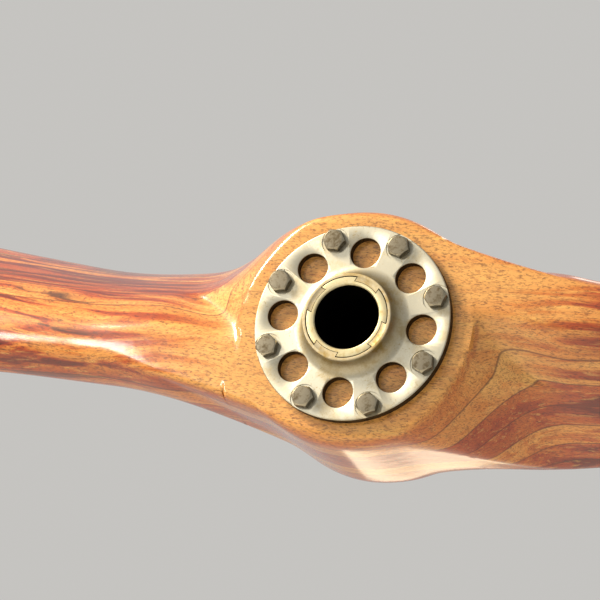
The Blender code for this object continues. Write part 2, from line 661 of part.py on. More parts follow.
def make_castle_nut(number, angle, x, y):
    """Hexagon nut with six slots at its rear end, their middles on the flats."""
    name = f"castle_nut_{number}"
    bm = bmesh.new()
    add_cylinder(bm, hexagon_radius(NUT_ACROSS_FLATS), NUT_BACK, NUT_FRONT, 6)
    nut = add_object(name, mesh_from(bm, name), BOLT_STEEL, PROPELLER_AXIS)
    bore = bmesh.new()
    low = NUT_BACK - STEP_OVER
    add_cylinder(bore, BOLT_HOLE_RADIUS, low, NUT_FRONT + STEP_OVER, SHANK_SIDES, spin=SHANK_SPIN)
    bore_cutter = add_object(f"{name}_bore", mesh_from(bore, f"{name}_bore"))
    slots = bmesh.new()
    length = NUT_ACROSS_FLATS / 2 + STEP_OVER
    depth = CASTLE_SLOT_DEPTH + STEP_OVER
    for i in range(6):
        centre = (length / 2 + BOLT_RADIUS / 2, 0.0, NUT_BACK + CASTLE_SLOT_DEPTH - depth / 2)
        add_box(slots, (length, CASTLE_SLOT_WIDTH, depth), centre, i * math.pi / 3)
    slot_cutter = add_object(f"{name}_slots", mesh_from(slots, f"{name}_slots"))
    for piece in (nut, bore_cutter, slot_cutter):
        piece.location = (x, y, 0.0)
        piece.rotation_euler = (0.0, 0.0, angle)
    combine(nut, bore_cutter, "DIFFERENCE")
    combine(nut, slot_cutter, "DIFFERENCE")


def split_pin_path():
    """Eye outside one flat, a leg through slots and bolt, and a tail bent along the far flat."""
    clear = NUT_ACROSS_FLATS / 2 + PIN_WIRE_RADIUS + 2 * FIT_GAP
    eye_x = -clear - PIN_EYE_RADIUS
    eye = []
    for i in range(EYE_POINTS):
        angle = math.radians(40.0) + math.radians(280.0) * i / (EYE_POINTS - 1)
        eye.append((eye_x + PIN_EYE_RADIUS * math.cos(angle), PIN_EYE_RADIUS * math.sin(angle), PIN_LEVEL))
    bend = PIN_WIRE_RADIUS * 2
    leg = [
        (-clear + PIN_WIRE_RADIUS, 0.0, PIN_LEVEL),
        (clear - bend, 0.0, PIN_LEVEL),
        (clear, 0.0, PIN_LEVEL + bend),
        (clear, 0.0, PIN_LEVEL + CASTLE_SLOT_DEPTH),
    ]
    return eye + leg


def make_split_pin(number, angle, x, y):
    curve = bpy.data.curves.new(f"split_pin_{number}", "CURVE")
    curve.dimensions = "3D"
    curve.bevel_depth = PIN_WIRE_RADIUS
    curve.bevel_resolution = 1
    curve.use_fill_caps = True
    path = split_pin_path()
    spline = curve.splines.new("POLY")
    spline.points.add(len(path) - 1)
    for point, place in zip(spline.points, path):
        point.co = (*place, 1.0)
    pin = add_object(f"split_pin_{number}", curve, BOLT_STEEL, PROPELLER_AXIS)
    pin.location = (x, y, 0.0)
    pin.rotation_euler = (0.0, 0.0, angle)


def make_fasteners():
    for number, (angle, x, y) in enumerate(BOLT_PLACES, start=1):
        make_bolt(number, angle, x, y)
        make_washer(number, angle, x, y)
        make_castle_nut(number, angle, x, y)
        make_split_pin(number, angle, x, y)


# ---------------------------------------------------------------- bearings and shaft
def race_groove(side, face):
    """Arc of a ball groove, front to rear; side is +1 on the outer ring and -1 on the inner."""
    radius = BALL_RADIUS + RACE_CLEARANCE
    middle = face - BEARING_WIDTH / 2
    reach = math.acos(RACE_SHOULDER / radius)
    points = []
    for i in range(5):
        angle = reach * (1.0 - i / 2)
        points.append((BALL_CIRCLE_RADIUS + side * radius * math.cos(angle), middle + radius * math.sin(angle)))
    return points


def make_outer_ring(name, face):
    outer = BEARING_OUTER_RADIUS - FIT_GAP
    shoulder = BALL_CIRCLE_RADIUS + RACE_SHOULDER
    back = face - BEARING_WIDTH
    profile = [(outer, face), (outer, back), (shoulder, back)]
    profile += reversed(race_groove(1.0, face))
    profile += [(shoulder, face)]
    turned(name, profile, BEARING_STEPS, BEARING_STEEL, PROPELLER_AXIS)


def make_inner_ring(name, face):
    inner = BEARING_BORE_RADIUS + FIT_GAP
    shoulder = BALL_CIRCLE_RADIUS - RACE_SHOULDER
    back = face - BEARING_WIDTH
    profile = [(shoulder, face)]
    profile += race_groove(-1.0, face)
    profile += [(shoulder, back), (inner, back), (inner, face)]
    turned(name, profile, BEARING_STEPS, BEARING_STEEL, SHAFT_AXIS)


def make_ball_cage(name, face):
    """Brass cage band with its balls, joined into one solid."""
    middle = face - BEARING_WIDTH / 2
    band = ring_profile(
        BALL_CIRCLE_RADIUS - CAGE_WALL / 2,
        BALL_CIRCLE_RADIUS + CAGE_WALL / 2,
        middle + CAGE_WIDTH / 2,
        middle - CAGE_WIDTH / 2,
    )
    cage = turned(name, band, BEARING_STEPS, CAGE_BRASS, CAGE_AXIS)
    bm = bmesh.new()
    for angle, x, y in circle_places(BALL_COUNT, BALL_CIRCLE_RADIUS, 0.0):
        place = Matrix.Translation((x, y, middle)) @ Matrix.Rotation(angle, 4, "Z")
        bmesh.ops.create_uvsphere(
            bm, u_segments=BALL_SIDES, v_segments=BALL_SIDES - 1, radius=BALL_RADIUS, matrix=place
        )
    combine(cage, add_object(f"{name}_balls", mesh_from(bm, f"{name}_balls")), "UNION")


def make_spacers():
    top = FRONT_BEARING_FACE - BEARING_WIDTH - FIT_GAP
    bottom = REAR_BEARING_FACE + FIT_GAP
    inner_wall = (BEARING_BORE_RADIUS + FIT_GAP, BALL_CIRCLE_RADIUS - RACE_SHOULDER)
    outer_wall = (BALL_CIRCLE_RADIUS + RACE_SHOULDER, BEARING_OUTER_RADIUS - FIT_GAP)
    turned("inner_spacer", ring_profile(*inner_wall, top, bottom), BEARING_STEPS, SHAFT_STEEL, SHAFT_AXIS)
    turned("outer_spacer", ring_profile(*outer_wall, top, bottom), BEARING_STEPS, SHAFT_STEEL, PROPELLER_AXIS)


def make_retainer():
    """Ring that holds the bearings in the sleeve, with its screws."""
    profile = ring_profile(RETAINER_BORE_RADIUS, RETAINER_RADIUS, RETAINER_FRONT, RETAINER_BACK)
    retainer = turned("bearing_retainer", profile, BEARING_STEPS, SHAFT_STEEL, PROPELLER_AXIS)
    radius = RETAINER_SCREW_RADIUS + FIT_GAP
    low = RETAINER_BACK - STEP_OVER
    high = RETAINER_FRONT + STEP_OVER
    combine(retainer, hole_cutter("retainer_hole_cutter", RETAINER_PLACES, radius, low, high), "DIFFERENCE")
    seat = RETAINER_BACK - FIT_GAP
    end = RETAINER_FRONT + RETAINER_SCREW_GRIP
    for number, (angle, x, y) in enumerate(RETAINER_PLACES, start=1):
        profile = [
            (0.0, end),
            (RETAINER_SCREW_RADIUS, end),
            (RETAINER_SCREW_RADIUS, seat),
            (RETAINER_SCREW_HEAD_RADIUS, seat),
            (RETAINER_SCREW_HEAD_RADIUS, seat - RETAINER_SCREW_HEAD_HEIGHT),
            (0.0, seat - RETAINER_SCREW_HEAD_HEIGHT),
        ]
        name = f"retainer_screw_{number}"
        screw = turned(name, profile, SHANK_SIDES, BOLT_STEEL, PROPELLER_AXIS, closed=False)
        screw.location = (x, y, 0.0)
        screw.rotation_euler = (0.0, 0.0, angle + SHANK_SPIN)


def make_shaft():
    """Fixed shaft: a journal for the bearings, a shoulder behind them, and the held body."""
    shoulder_back = SHAFT_SHOULDER_FRONT - SHAFT_SHOULDER_WIDTH
    profile = [
        (0.0, SHAFT_NOSE),
        (BEARING_BORE_RADIUS - EDGE_CHAMFER, SHAFT_NOSE),
        (BEARING_BORE_RADIUS, SHAFT_NOSE - EDGE_CHAMFER),
        (BEARING_BORE_RADIUS, SHAFT_SHOULDER_FRONT),
        (SHAFT_SHOULDER_RADIUS, SHAFT_SHOULDER_FRONT),
        (SHAFT_SHOULDER_RADIUS, shoulder_back),
        (SHAFT_BODY_RADIUS, shoulder_back),
        (SHAFT_BODY_RADIUS, -SHAFT_REACH),
        (0.0, -SHAFT_REACH),
    ]
    turned("shaft", profile, BEARING_STEPS, SHAFT_STEEL, SHAFT_AXIS, closed=False)


def make_locknut():
    """Round nut that clamps the inner rings, with four hook-spanner slots."""
    inner = BEARING_BORE_RADIUS + FIT_GAP
    profile = ring_profile(inner, LOCKNUT_RADIUS, LOCKNUT_FRONT, LOCKNUT_BACK)
    nut = turned("shaft_locknut", profile, BEARING_STEPS, SHAFT_STEEL, SHAFT_AXIS)
    bm = bmesh.new()
    slot = LOCKNUT_SLOT_SHARE * (LOCKNUT_RADIUS - inner)
    for i in range(4):
        centre = (LOCKNUT_RADIUS, 0.0, (LOCKNUT_FRONT + LOCKNUT_BACK) / 2)
        add_box(bm, (slot, slot, LOCKNUT_WIDTH * 2), centre, i * math.pi / 2)
    combine(nut, add_object("spanner_slot_cutter", mesh_from(bm, "spanner_slot_cutter")), "DIFFERENCE")


def make_bearings():
    for place, face in (("front", FRONT_BEARING_FACE), ("rear", REAR_BEARING_FACE)):
        make_outer_ring(f"outer_ring_{place}", face)
        make_inner_ring(f"inner_ring_{place}", face)
        make_ball_cage(f"ball_cage_{place}", face)
    make_spacers()
    make_retainer()


def main():
    make_laminations()
    make_front_flange()
    make_hub_sleeve()
    make_fasteners()
    make_bearings()
    make_shaft()
    make_locknut()


main()
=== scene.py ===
"""Laminated wooden propeller on a bolted steel hub: its looks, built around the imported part.

Pieces are made in the hub frame (axis along +Z, front upwards) and stood up by HUB_TO_WORLD.
"""

import json
import math
import random
from functools import partial

import bmesh
import bpy
import numpy as np
from bpy.props import FloatProperty, FloatVectorProperty, IntProperty, PointerProperty
from mathutils import Matrix, Vector


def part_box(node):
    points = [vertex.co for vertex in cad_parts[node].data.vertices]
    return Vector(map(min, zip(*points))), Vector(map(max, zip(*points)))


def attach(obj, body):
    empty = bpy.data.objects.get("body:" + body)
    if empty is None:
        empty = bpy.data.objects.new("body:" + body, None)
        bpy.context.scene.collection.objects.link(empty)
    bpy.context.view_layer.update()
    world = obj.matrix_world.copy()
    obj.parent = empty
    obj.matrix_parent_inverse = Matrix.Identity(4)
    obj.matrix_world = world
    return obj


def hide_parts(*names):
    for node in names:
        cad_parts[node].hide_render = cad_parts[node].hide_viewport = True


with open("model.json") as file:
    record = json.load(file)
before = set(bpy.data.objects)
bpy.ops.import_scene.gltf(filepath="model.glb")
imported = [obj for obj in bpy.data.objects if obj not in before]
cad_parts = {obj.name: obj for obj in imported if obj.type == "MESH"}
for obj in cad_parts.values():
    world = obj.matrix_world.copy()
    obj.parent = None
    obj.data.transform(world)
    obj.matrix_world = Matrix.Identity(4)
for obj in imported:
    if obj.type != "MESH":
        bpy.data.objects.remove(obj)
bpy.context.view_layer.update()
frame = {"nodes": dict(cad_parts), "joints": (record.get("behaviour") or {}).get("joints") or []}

bl_info = {
    "name": "Laminated Wooden Propeller",
    "version": (1, 0, 0),
    "blender": (4, 5, 0),
    "location": "View3D > Sidebar > Propeller",
    "description": "Builds a varnished laminated propeller with its bolted hub and bearings",
    "category": "Add Mesh",
}

# ---------------------------------------------------------------- places taken from the frame
BOARDS = sorted(name for name in frame["nodes"] if name.startswith("lamination_"))
HUB_Y = frame["joints"][0]["pos_m"][1]
HUB_TO_WORLD = Matrix.Translation((0.0, HUB_Y, 0.0)) @ Matrix.Rotation(math.pi / 2, 4, "X")


def front_of(node):
    """Height in the hub frame of a node's front face."""
    return HUB_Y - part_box(node)[0].y


def back_of(node):
    """Height in the hub frame of a node's rear face."""
    return HUB_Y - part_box(node)[1].y


def radius_of(node):
    """Outer radius of a node that is round about the hub axis."""
    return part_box(node)[1].x


MM = 0.001
FULL_TURN = 2 * math.pi
EIGHTH = FULL_TURN / 8
HALF_STACK = front_of(BOARDS[0])
BOARD_PITCH = 2 * HALF_STACK / len(BOARDS)
BLADE_TIP = radius_of(BOARDS[3])
PLATE_FACE = front_of("hub_bolt_1") - 7.5 * MM
PLATE_BACK = back_of("front_flange")
NOSE_FACE = front_of("front_flange")
PLATE_RADIUS = radius_of("front_flange")
REAR_FLANGE_BACK = back_of("hub_sleeve")
REAR_FLANGE_FRONT = REAR_FLANGE_BACK + 10.0 * MM
REAR_FLANGE_RADIUS = radius_of("hub_sleeve")

# hub details, metres
BOLT_CIRCLE = 87.6 * MM
HOLE_CIRCLE = 72.0 * MM
HOLE_RADIUS = 15.5 * MM
BOLT_RADIUS = 6.35 * MM
SPOTFACE_RADIUS = 13.8 * MM
SPOTFACE_DEPTH = 0.8 * MM
SLEEVE_RADIUS = 41.5 * MM
SLEEVE_BORE = 32.5 * MM
BORE_GAP = 0.3 * MM
NOSE_RADIUS = 45.3 * MM
NOSE_FILLET = 14.0 * MM
LUG_HALF_WIDTH = 12.75 * MM
LUG_HEIGHT = 12.0 * MM
LUG_INNER = 36.5 * MM
HEX_FLATS = 20.0 * MM
BEARING_OUTER = 31.0 * MM
BEARING_BORE = 17.5 * MM
BALL_CIRCLE = (BEARING_OUTER + BEARING_BORE) / 2
BALL_RADIUS = 4.0 * MM
BALL_COUNT = 9


# ---------------------------------------------------------------- colours and material nodes
def srgb(code):
    """sRGB hex text as linear red, green and blue."""
    shares = [int(code[i : i + 2], 16) / 255 for i in (1, 3, 5)]
    return tuple(c / 12.92 if c <= 0.04045 else ((c + 0.055) / 1.055) ** 2.4 for c in shares)


def add_node(tree, kind, settings=None, inputs=None):
    """Adds a node. Settings are its options, or "ramp" for a colour ramp's (place, colour) stops.
    Each input takes a value, another node's output, or another node for its first output in use."""
    new = tree.nodes.new(kind)
    for name, value in (settings or {}).items():
        if name == "ramp":
            while len(new.color_ramp.elements) < len(value):
                new.color_ramp.elements.new(0.5)
            for element, (place, colour) in zip(new.color_ramp.elements, value):
                element.position = place
                element.color = (*colour, 1.0)
        else:
            setattr(new, name, value)
    for name, value in (inputs or {}).items():
        if isinstance(value, bpy.types.Node):
            value = next(socket for socket in value.outputs if socket.enabled)
        if isinstance(value, bpy.types.NodeSocket):
            tree.links.new(value, new.inputs[name])
        else:
            new.inputs[name].default_value = value
    return new


def new_material(name, shader_values):
    """A material with a Principled shader whose even values are set on its own sockets."""
    material = bpy.data.materials.new(name)
    material.use_nodes = True
    tree = material.node_tree
    shader = tree.nodes["Principled BSDF"]
    for socket, value in shader_values.items():
        shader.inputs[socket].default_value = value
    coords = add_node(tree, "ShaderNodeTexCoord").outputs["Object"]
    return material, tree, shader, coords


def per(size_mm):
    """Noise scale whose patches are about this many millimetres across."""
    return 1.0 / (size_mm * MM)


def varnished_mahogany(wood):
    """Carved laminated mahogany under brushed spar varnish. Faces that look along the hub axis are
    painted golden as painted light, and the carved flanks redder and darker as painted shade. The wood
    also reddens outboard, partly ribbon grain and partly painted light fall-off. The varnish gives a
    clear, slightly soft gloss."""
    material, tree, shader, coords = new_material(
        "varnished_mahogany",
        {
            "Coat Weight": 1.0,
            "Coat Roughness": wood.varnish_roughness,
            "Coat IOR": 1.5,
            "IOR": 1.45,
            "Specular IOR Level": 0.3,
        },
    )
    node = partial(add_node, tree)
    multiply = {"operation": "MULTIPLY"}
    multiply_add = {"operation": "MULTIPLY_ADD"}
    add = {"operation": "ADD"}
    subtract = {"operation": "SUBTRACT"}
    smooth = {"interpolation_type": "SMOOTHSTEP"}

    # each board is its own plank, so its pattern starts somewhere else
    axes = node("ShaderNodeSeparateXYZ", {}, {0: coords}).outputs
    depth = node("ShaderNodeMath", subtract, {0: axes["Y"], 1: HUB_Y - HALF_STACK})
    board = node("ShaderNodeMath", {"operation": "DIVIDE"}, {0: depth, 1: BOARD_PITCH})
    board = node("ShaderNodeClamp", {}, {"Value": board, "Min": 0.1, "Max": len(BOARDS) - 0.1})
    number = node("ShaderNodeMath", {"operation": "FLOOR"}, {0: board})
    start = node("ShaderNodeVectorMath", multiply, {0: number, 1: (0.731, 0.177, 0.419)})
    plank = node("ShaderNodeVectorMath", add, {0: coords, 1: start})
    plank_random = node("ShaderNodeTexWhiteNoise", {"noise_dimensions": "1D"}, {"W": number})

    # slow wander of the grain, in patches 60 mm wide and four times as long
    slow = node("ShaderNodeVectorMath", multiply, {0: plank, 1: (1.0 / 4.0, 1.0, 1.0)})
    wander = node("ShaderNodeTexNoise", {}, {"Vector": slow, "Scale": per(60.0)})
    wander = node("ShaderNodeMath", subtract, {0: wander, 1: 0.5})
    wander = node("ShaderNodeMath", multiply, {0: wander, 1: wood.grain_wander})
    sideways = node("ShaderNodeCombineXYZ", {}, {"Y": wander, "Z": wander})
    bent = node("ShaderNodeVectorMath", add, {0: plank, 1: sideways})

    # growth rings about a pith line off to one side
    rings = node(
        "ShaderNodeTexWave",
        {"wave_type": "RINGS", "rings_direction": "X", "wave_profile": "SAW"},
        {
            "Vector": bent,
            "Scale": math.pi / 10 * per(wood.ring_spacing),
            "Distortion": 1.6,
            "Detail": 3.0,
            "Detail Scale": 0.5,
        },
    ).outputs["Fac"]

    # grain drawn out along the board: width in mm, times as long, detail, roughness. Ribbons and
    # streaks are interlocked grain. Open pores are 0.3 mm wide, drawn 1.25 mm wide so that they show.
    grain = {}
    for name, vector, width_mm, length, detail, roughness in (
        ("ribbon", bent, 13.0, 14.0, 3.0, 0.55),
        ("streak", bent, 4.0, 30.0, 3.0, 0.6),
        ("pore", bent, 1.25, 4.0, 2.0, 0.65),
        ("curl", plank, 2.6, 2.2, 2.0, 0.6),
        ("ripple", coords, 9.0, 1.6, 2.0, 0.4),
    ):
        drawn = node("ShaderNodeVectorMath", multiply, {0: vector, 1: (1.0 / length, 1.0, 1.0)})
        grain[name] = node("ShaderNodeTexNoise", {}, {
            "Vector": drawn, "Scale": per(width_mm), "Detail": detail, "Roughness": roughness})

    # how red the wood is, from golden at the boss to red in the ribbons; faces along the hub axis are
    # painted golden as painted light and the carved flanks redder as painted shade
    # painted light fall-off: the wood reddens and darkens away from the hub, partly ribbon grain and partly
    # painted shade where the light falls off
    reach = node("ShaderNodeMath", {"operation": "ABSOLUTE"}, {0: axes["X"]})
    outboard = node("ShaderNodeMapRange", smooth, {"Value": reach, "From Min": 0.10, "From Max": 0.36})
    front_light_share = node("ShaderNodeAttribute", {"attribute_name": "faces_front"}).outputs["Fac"]
    ribbons = node("ShaderNodeMapRange", smooth, {
        "Value": grain["ribbon"], "From Min": 0.42, "From Max": 0.66})
    red = node("ShaderNodeMath", multiply_add, {0: outboard, 1: 0.95, 2: 0.10})
    red = node("ShaderNodeMath", multiply, {0: ribbons, 1: red})
    # painted light: faces along the hub axis are pushed towards golden, and the flanks stay redder as
    # painted shade
    red = node("ShaderNodeMath", multiply_add, {0: front_light_share, 1: -0.42, 2: red})
    red = node("ShaderNodeMath", multiply_add, {0: outboard, 1: 0.20, 2: red})
    red = node("ShaderNodeMath", multiply_add, {0: plank_random, 1: 0.45, 2: red})
    red = node("ShaderNodeMath", add, {0: red, 1: 0.42 - 0.45 / 2})
    stops = [(0.0, wood.golden), (0.30, wood.amber), (0.62, wood.orange), (1.0, wood.red)]
    colour = node("ShaderNodeValToRGB", {"ramp": stops}, {"Fac": red})

    # darker and paler marks over it: pattern, where it begins, where it is full, strength, colour
    # the dark streaks grow stronger outboard too, part of the same painted fall-off
    streaks = node("ShaderNodeMath", multiply_add, {0: outboard, 1: 0.80, 2: 0.10})
    fract = node("ShaderNodeMath", {"operation": "FRACT"}, {0: board})
    seam = node("ShaderNodeMath", subtract, {0: fract, 1: 0.5})
    seam = node("ShaderNodeMath", {"operation": "ABSOLUTE"}, {0: seam})
    glue_edge = 0.5 - 0.9 * MM / BOARD_PITCH
    glue_middle = 0.5 - 0.2 * MM / BOARD_PITCH
    for pattern, begins, full, strength, tint in (
        (rings, 0.35, 1.0, 0.08, wood.dark_streak),
        (grain["streak"], 0.56, 0.74, streaks, wood.dark_streak),
        (grain["streak"], 0.46, 0.30, 0.35, wood.pale_streak),
        (grain["curl"], 0.50, 0.34, 0.30, wood.red),
        (grain["pore"], 0.49, 0.35, wood.pore_strength, wood.dark_streak),
        (seam, glue_edge, glue_middle, 0.6, wood.dark_streak),
    ):
        marks = node("ShaderNodeMapRange", smooth, {
            "Value": pattern, "From Min": begins, "From Max": full, "To Max": strength})
        colour = node("ShaderNodeMix", {"data_type": "RGBA"}, {0: marks, 6: colour, 7: (*tint, 1.0)})
    tree.links.new(colour.outputs[2], shader.inputs["Base Color"])

    # pores are rough; the varnish over them is level but for brush ripples
    dry = node("ShaderNodeMath", multiply_add, {0: grain["pore"], 1: 0.25, 2: 0.36})
    tree.links.new(dry.outputs[0], shader.inputs["Roughness"])
    skin = node("ShaderNodeMath", multiply_add, {0: grain["pore"], 1: 0.16, 2: grain["ripple"]})
    for socket, height, strength, depth_mm in (
        ("Normal", grain["pore"], 0.25, 0.4), ("Coat Normal", skin, 0.35, 0.35),
    ):
        bump = node("ShaderNodeBump", {}, {
            "Strength": strength, "Distance": depth_mm * MM, "Height": height})
        tree.links.new(bump.outputs[0], shader.inputs[socket])
    return material


def worn_metal(name, clean, stained, roughness, stain_mm=22.0, stain_amount=0.5, scratches=0.35,
               grit_mm=1.8, fillet_shade=0.0, bump_mm=0.05):
    """Metal with cloudy stains, fine grit and scratches; it is duller where it is stained. Where
    fillet_shade is given, a patchy band round the nose's fillet is darkened towards the stained colour
    as painted shade.
    """
    material, tree, shader, coords = new_material(name, {"Metallic": 1.0})
    node = partial(add_node, tree)
    multiply = {"operation": "MULTIPLY"}
    multiply_add = {"operation": "MULTIPLY_ADD"}
    smooth = {"interpolation_type": "SMOOTHSTEP"}

    # even noises: patch size in mm, detail, roughness
    noises = {}
    for kind, size_mm, detail, share in (
        ("cloud", stain_mm, 5.0, 0.62), ("grit", grit_mm, 3.0, 0.7),
        ("patches", 30.0, 2.0, 0.5), ("fillet", 9.0, 4.0, 0.6),
    ):
        noises[kind] = node("ShaderNodeTexNoise", {}, {
            "Vector": coords, "Scale": per(size_mm), "Detail": detail, "Roughness": share})

    stain_and_shade = node("ShaderNodeMapRange", smooth, {
        "Value": noises["cloud"], "From Min": 0.46, "From Max": 0.68, "To Max": stain_amount})
    if fillet_shade:
        # painted shade: a patchy darker band round the nose's fillet, where the plate meets the nose
        axes = node("ShaderNodeSeparateXYZ", {}, {0: coords}).outputs
        flat = node("ShaderNodeCombineXYZ", {}, {"X": axes["X"], "Y": axes["Z"]})
        from_axis = node("ShaderNodeVectorMath", {"operation": "LENGTH"}, {0: flat})
        near = node("ShaderNodeMapRange", smooth, {
            "Value": from_axis, "From Min": NOSE_RADIUS + 17 * MM, "From Max": NOSE_RADIUS,
            "To Max": fillet_shade})
        patchy = node("ShaderNodeMath", multiply_add, {0: noises["fillet"], 1: 0.9, 2: 0.25})
        stain_and_shade = node("ShaderNodeMath", multiply_add, {0: near, 1: patchy, 2: stain_and_shade})
    stain_and_shade = node("ShaderNodeMath", multiply_add, {0: noises["grit"], 1: 0.5, 2: stain_and_shade})
    stain_and_shade = node("ShaderNodeMath", {"operation": "SUBTRACT", "use_clamp": True}, {0: stain_and_shade, 1: 0.25})
    colour = node("ShaderNodeMix", {"data_type": "RGBA"}, {
        0: stain_and_shade, 6: (*clean, 1.0), 7: (*stained, 1.0)})

    # scratches lie in two directions; each set is a noise squeezed to thin lines
    sets = []
    for turn, length in ((0.6, 30.0), (-1.1, 24.0)):
        turned_coords = node("ShaderNodeMapping", {}, {"Vector": coords, "Rotation": (0.0, turn, 0.3)})
        drawn = node("ShaderNodeVectorMath", multiply, {0: turned_coords, 1: (1.0 / length, 1.0, 1.0)})
        lines = node("ShaderNodeTexNoise", {}, {
            "Vector": drawn, "Scale": per(1.4), "Detail": 1.0, "Roughness": 0.4})
        sets.append(node("ShaderNodeMapRange", smooth, {
            "Value": lines, "From Min": 0.66, "From Max": 0.74}))
    marks = node("ShaderNodeMath", {"operation": "MAXIMUM"}, {0: sets[0], 1: sets[1]})
    patches = node("ShaderNodeMapRange", smooth, {
        "Value": noises["patches"], "From Min": 0.45, "From Max": 0.6, "To Max": scratches})
    marks = node("ShaderNodeMath", multiply, {0: marks, 1: patches})
    colour = node("ShaderNodeMix", {"data_type": "RGBA"}, {0: marks, 6: colour, 7: (*stained, 1.0)})
    tree.links.new(colour.outputs[2], shader.inputs["Base Color"])

    rough = node("ShaderNodeMath", multiply_add, {0: stain_and_shade, 1: 0.22, 2: roughness})
    rough = node("ShaderNodeMath", multiply_add, {0: noises["grit"], 1: 0.10, 2: rough})
    tree.links.new(rough.outputs[0], shader.inputs["Roughness"])
    height = node("ShaderNodeMath", {"operation": "SUBTRACT"}, {0: noises["grit"], 1: marks})
    bump = node("ShaderNodeBump", {}, {"Strength": 0.5, "Distance": bump_mm * MM, "Height": height})
    tree.links.new(bump.outputs[0], shader.inputs["Normal"])
    return material


MATERIALS = {}


def metal(name):
    """The hub's metals, each made once."""
    if name in MATERIALS:
        return MATERIALS[name]
    hub = bpy.context.scene.propeller_hub
    recipes = {
        # dull nickel plate on steel: whitish, cloudy, scratched, with painted shade darkening it round the
        # nose's fillet
        "dull_nickel_plate": dict(
            clean=hub.plate, stained=hub.oil_stain_and_shade, roughness=0.34, stain_amount=0.42,
            scratches=0.55, fillet_shade=0.75),
        # turned sleeve of the same plating, more rubbed and yellower
        "rubbed_nickel_sleeve": dict(
            clean=hub.sleeve, stained=hub.oil_stain_and_shade, roughness=0.32, stain_mm=12.0,
            stain_amount=0.6, scratches=0.4),
        # bore blackened by old grease: nearly no reflection
        "greased_bore": dict(
            clean=hub.grease, stained=hub.grease_film, roughness=0.62, scratches=0.0, bump_mm=0.2),
        # painted shade: the plate's side wall, the walls of its holes and the rear flange's rim, painted
        # dark and dull
        "painted_shade_plate_edge": dict(
            clean=hub.grime_and_shade, stained=hub.grease, roughness=0.5, stain_mm=8.0, stain_amount=0.6),
        # hot-forged bolt steel with an oiled, olive-grey skin
        "oiled_bolt_steel": dict(
            clean=hub.bolt, stained=hub.grime_and_shade, roughness=0.36, stain_mm=5.0, stain_amount=0.75,
            scratches=0.5, grit_mm=1.3, bump_mm=0.12),
        # the same steel, brighter: plain rubbed steel on the washers and screws; on the bolt heads'
        # chamfers partly rubbed wear and partly a painted highlight
        "rubbed_and_highlight_bolt_steel": dict(
            clean=hub.bright_bolt, stained=hub.bolt, roughness=0.28, stain_mm=4.0,
            stain_amount=0.5, scratches=0.3, grit_mm=1.3, bump_mm=0.06),
        # ground and polished bearing steel, even and mirror-like under a film of oil
        "ground_bearing_steel": dict(
            clean=hub.bearing, stained=hub.oil_stain_and_shade, roughness=0.14, stain_amount=0.2,
            scratches=0.1, bump_mm=0.02),
        # turned brass, darkened a little by age
        "aged_cage_brass": dict(
            clean=hub.brass, stained=hub.grime_and_shade, roughness=0.28, stain_mm=4.0, stain_amount=0.5,
            scratches=0.2, grit_mm=1.0),
        # plain turned steel with tool marks and a thin brown film
        "turned_shaft_steel": dict(
            clean=hub.shaft, stained=hub.grime_and_shade, roughness=0.30, stain_mm=16.0, stain_amount=0.55,
            scratches=0.4),
    }
    MATERIALS[name] = worn_metal(name, **recipes[name])
    return MATERIALS[name]


# ---------------------------------------------------------------- mesh helpers
def rounded(corners, closed=True, steps=4):
    """Profile from (radius, z, rounding) corners, each rounding turned into an arc."""
    points = []
    last = len(corners) - 1
    for i, (radius, z, rounding) in enumerate(corners):
        if rounding == 0.0 or (not closed and i in (0, last)):
            points.append((radius, z))
            continue
        here = Vector((radius, z))
        before = (Vector(corners[i - 1][:2]) - here).normalized()
        after = (Vector(corners[(i + 1) % len(corners)][:2]) - here).normalized()
        half = before.angle(after) / 2
        centre = here + (before + after).normalized() * rounding / math.sin(half)
        start = here + before * rounding / math.tan(half) - centre
        end = here + after * rounding / math.tan(half) - centre
        for k in range(steps + 1):
            points.append(tuple(centre + start.lerp(end, k / steps).normalized() * rounding))
    return points


def lathe(bm, profile, steps, closed=True, matrix=None):
    """Adds a turned solid about the Z axis."""
    verts = [bm.verts.new((radius, 0.0, z)) for radius, z in profile]
    edges = [bm.edges.new(pair) for pair in zip(verts, verts[1:])]
    if closed:
        edges.append(bm.edges.new((verts[-1], verts[0])))
    before = set(bm.verts) - set(verts)
    bmesh.ops.spin(
        bm, geom=verts + edges, cent=(0, 0, 0), axis=(0, 0, 1), angle=FULL_TURN, steps=steps,
        use_merge=True,
    )
    fresh = [v for v in bm.verts if v not in before]
    bmesh.ops.remove_doubles(bm, verts=fresh, dist=0.001 * MM)
    fresh = [v for v in bm.verts if v not in before]
    faces = list({f for v in fresh for f in v.link_faces})
    bmesh.ops.recalc_face_normals(bm, faces=faces)
    if matrix is not None:
        bmesh.ops.transform(bm, matrix=matrix, verts=fresh)


def prism(bm, outline, bottom, top, matrix=None):
    """Adds an upright prism over a flat outline."""
    low = [bm.verts.new((x, y, bottom)) for x, y in outline]
    high = [bm.verts.new((x, y, top)) for x, y in outline]
    faces = [bm.faces.new(list(reversed(low))), bm.faces.new(high)]
    for i in range(len(outline)):
        j = (i + 1) % len(outline)
        faces.append(bm.faces.new((low[i], low[j], high[j], high[i])))
    bmesh.ops.recalc_face_normals(bm, faces=faces)
    if matrix is not None:
        bmesh.ops.transform(bm, matrix=matrix, verts=low + high)


def turn(angle):
    """Rotation about the hub axis."""
    return Matrix.Rotation(angle, 4, "Z")


def circle_matrices(count, radius, first):
    """Places evenly round the hub axis, each turned to face outwards."""
    angles = [first + FULL_TURN * i / count for i in range(count)]
    return [turn(a) @ Matrix.Translation((radius, 0.0, 0.0)) for a in angles]


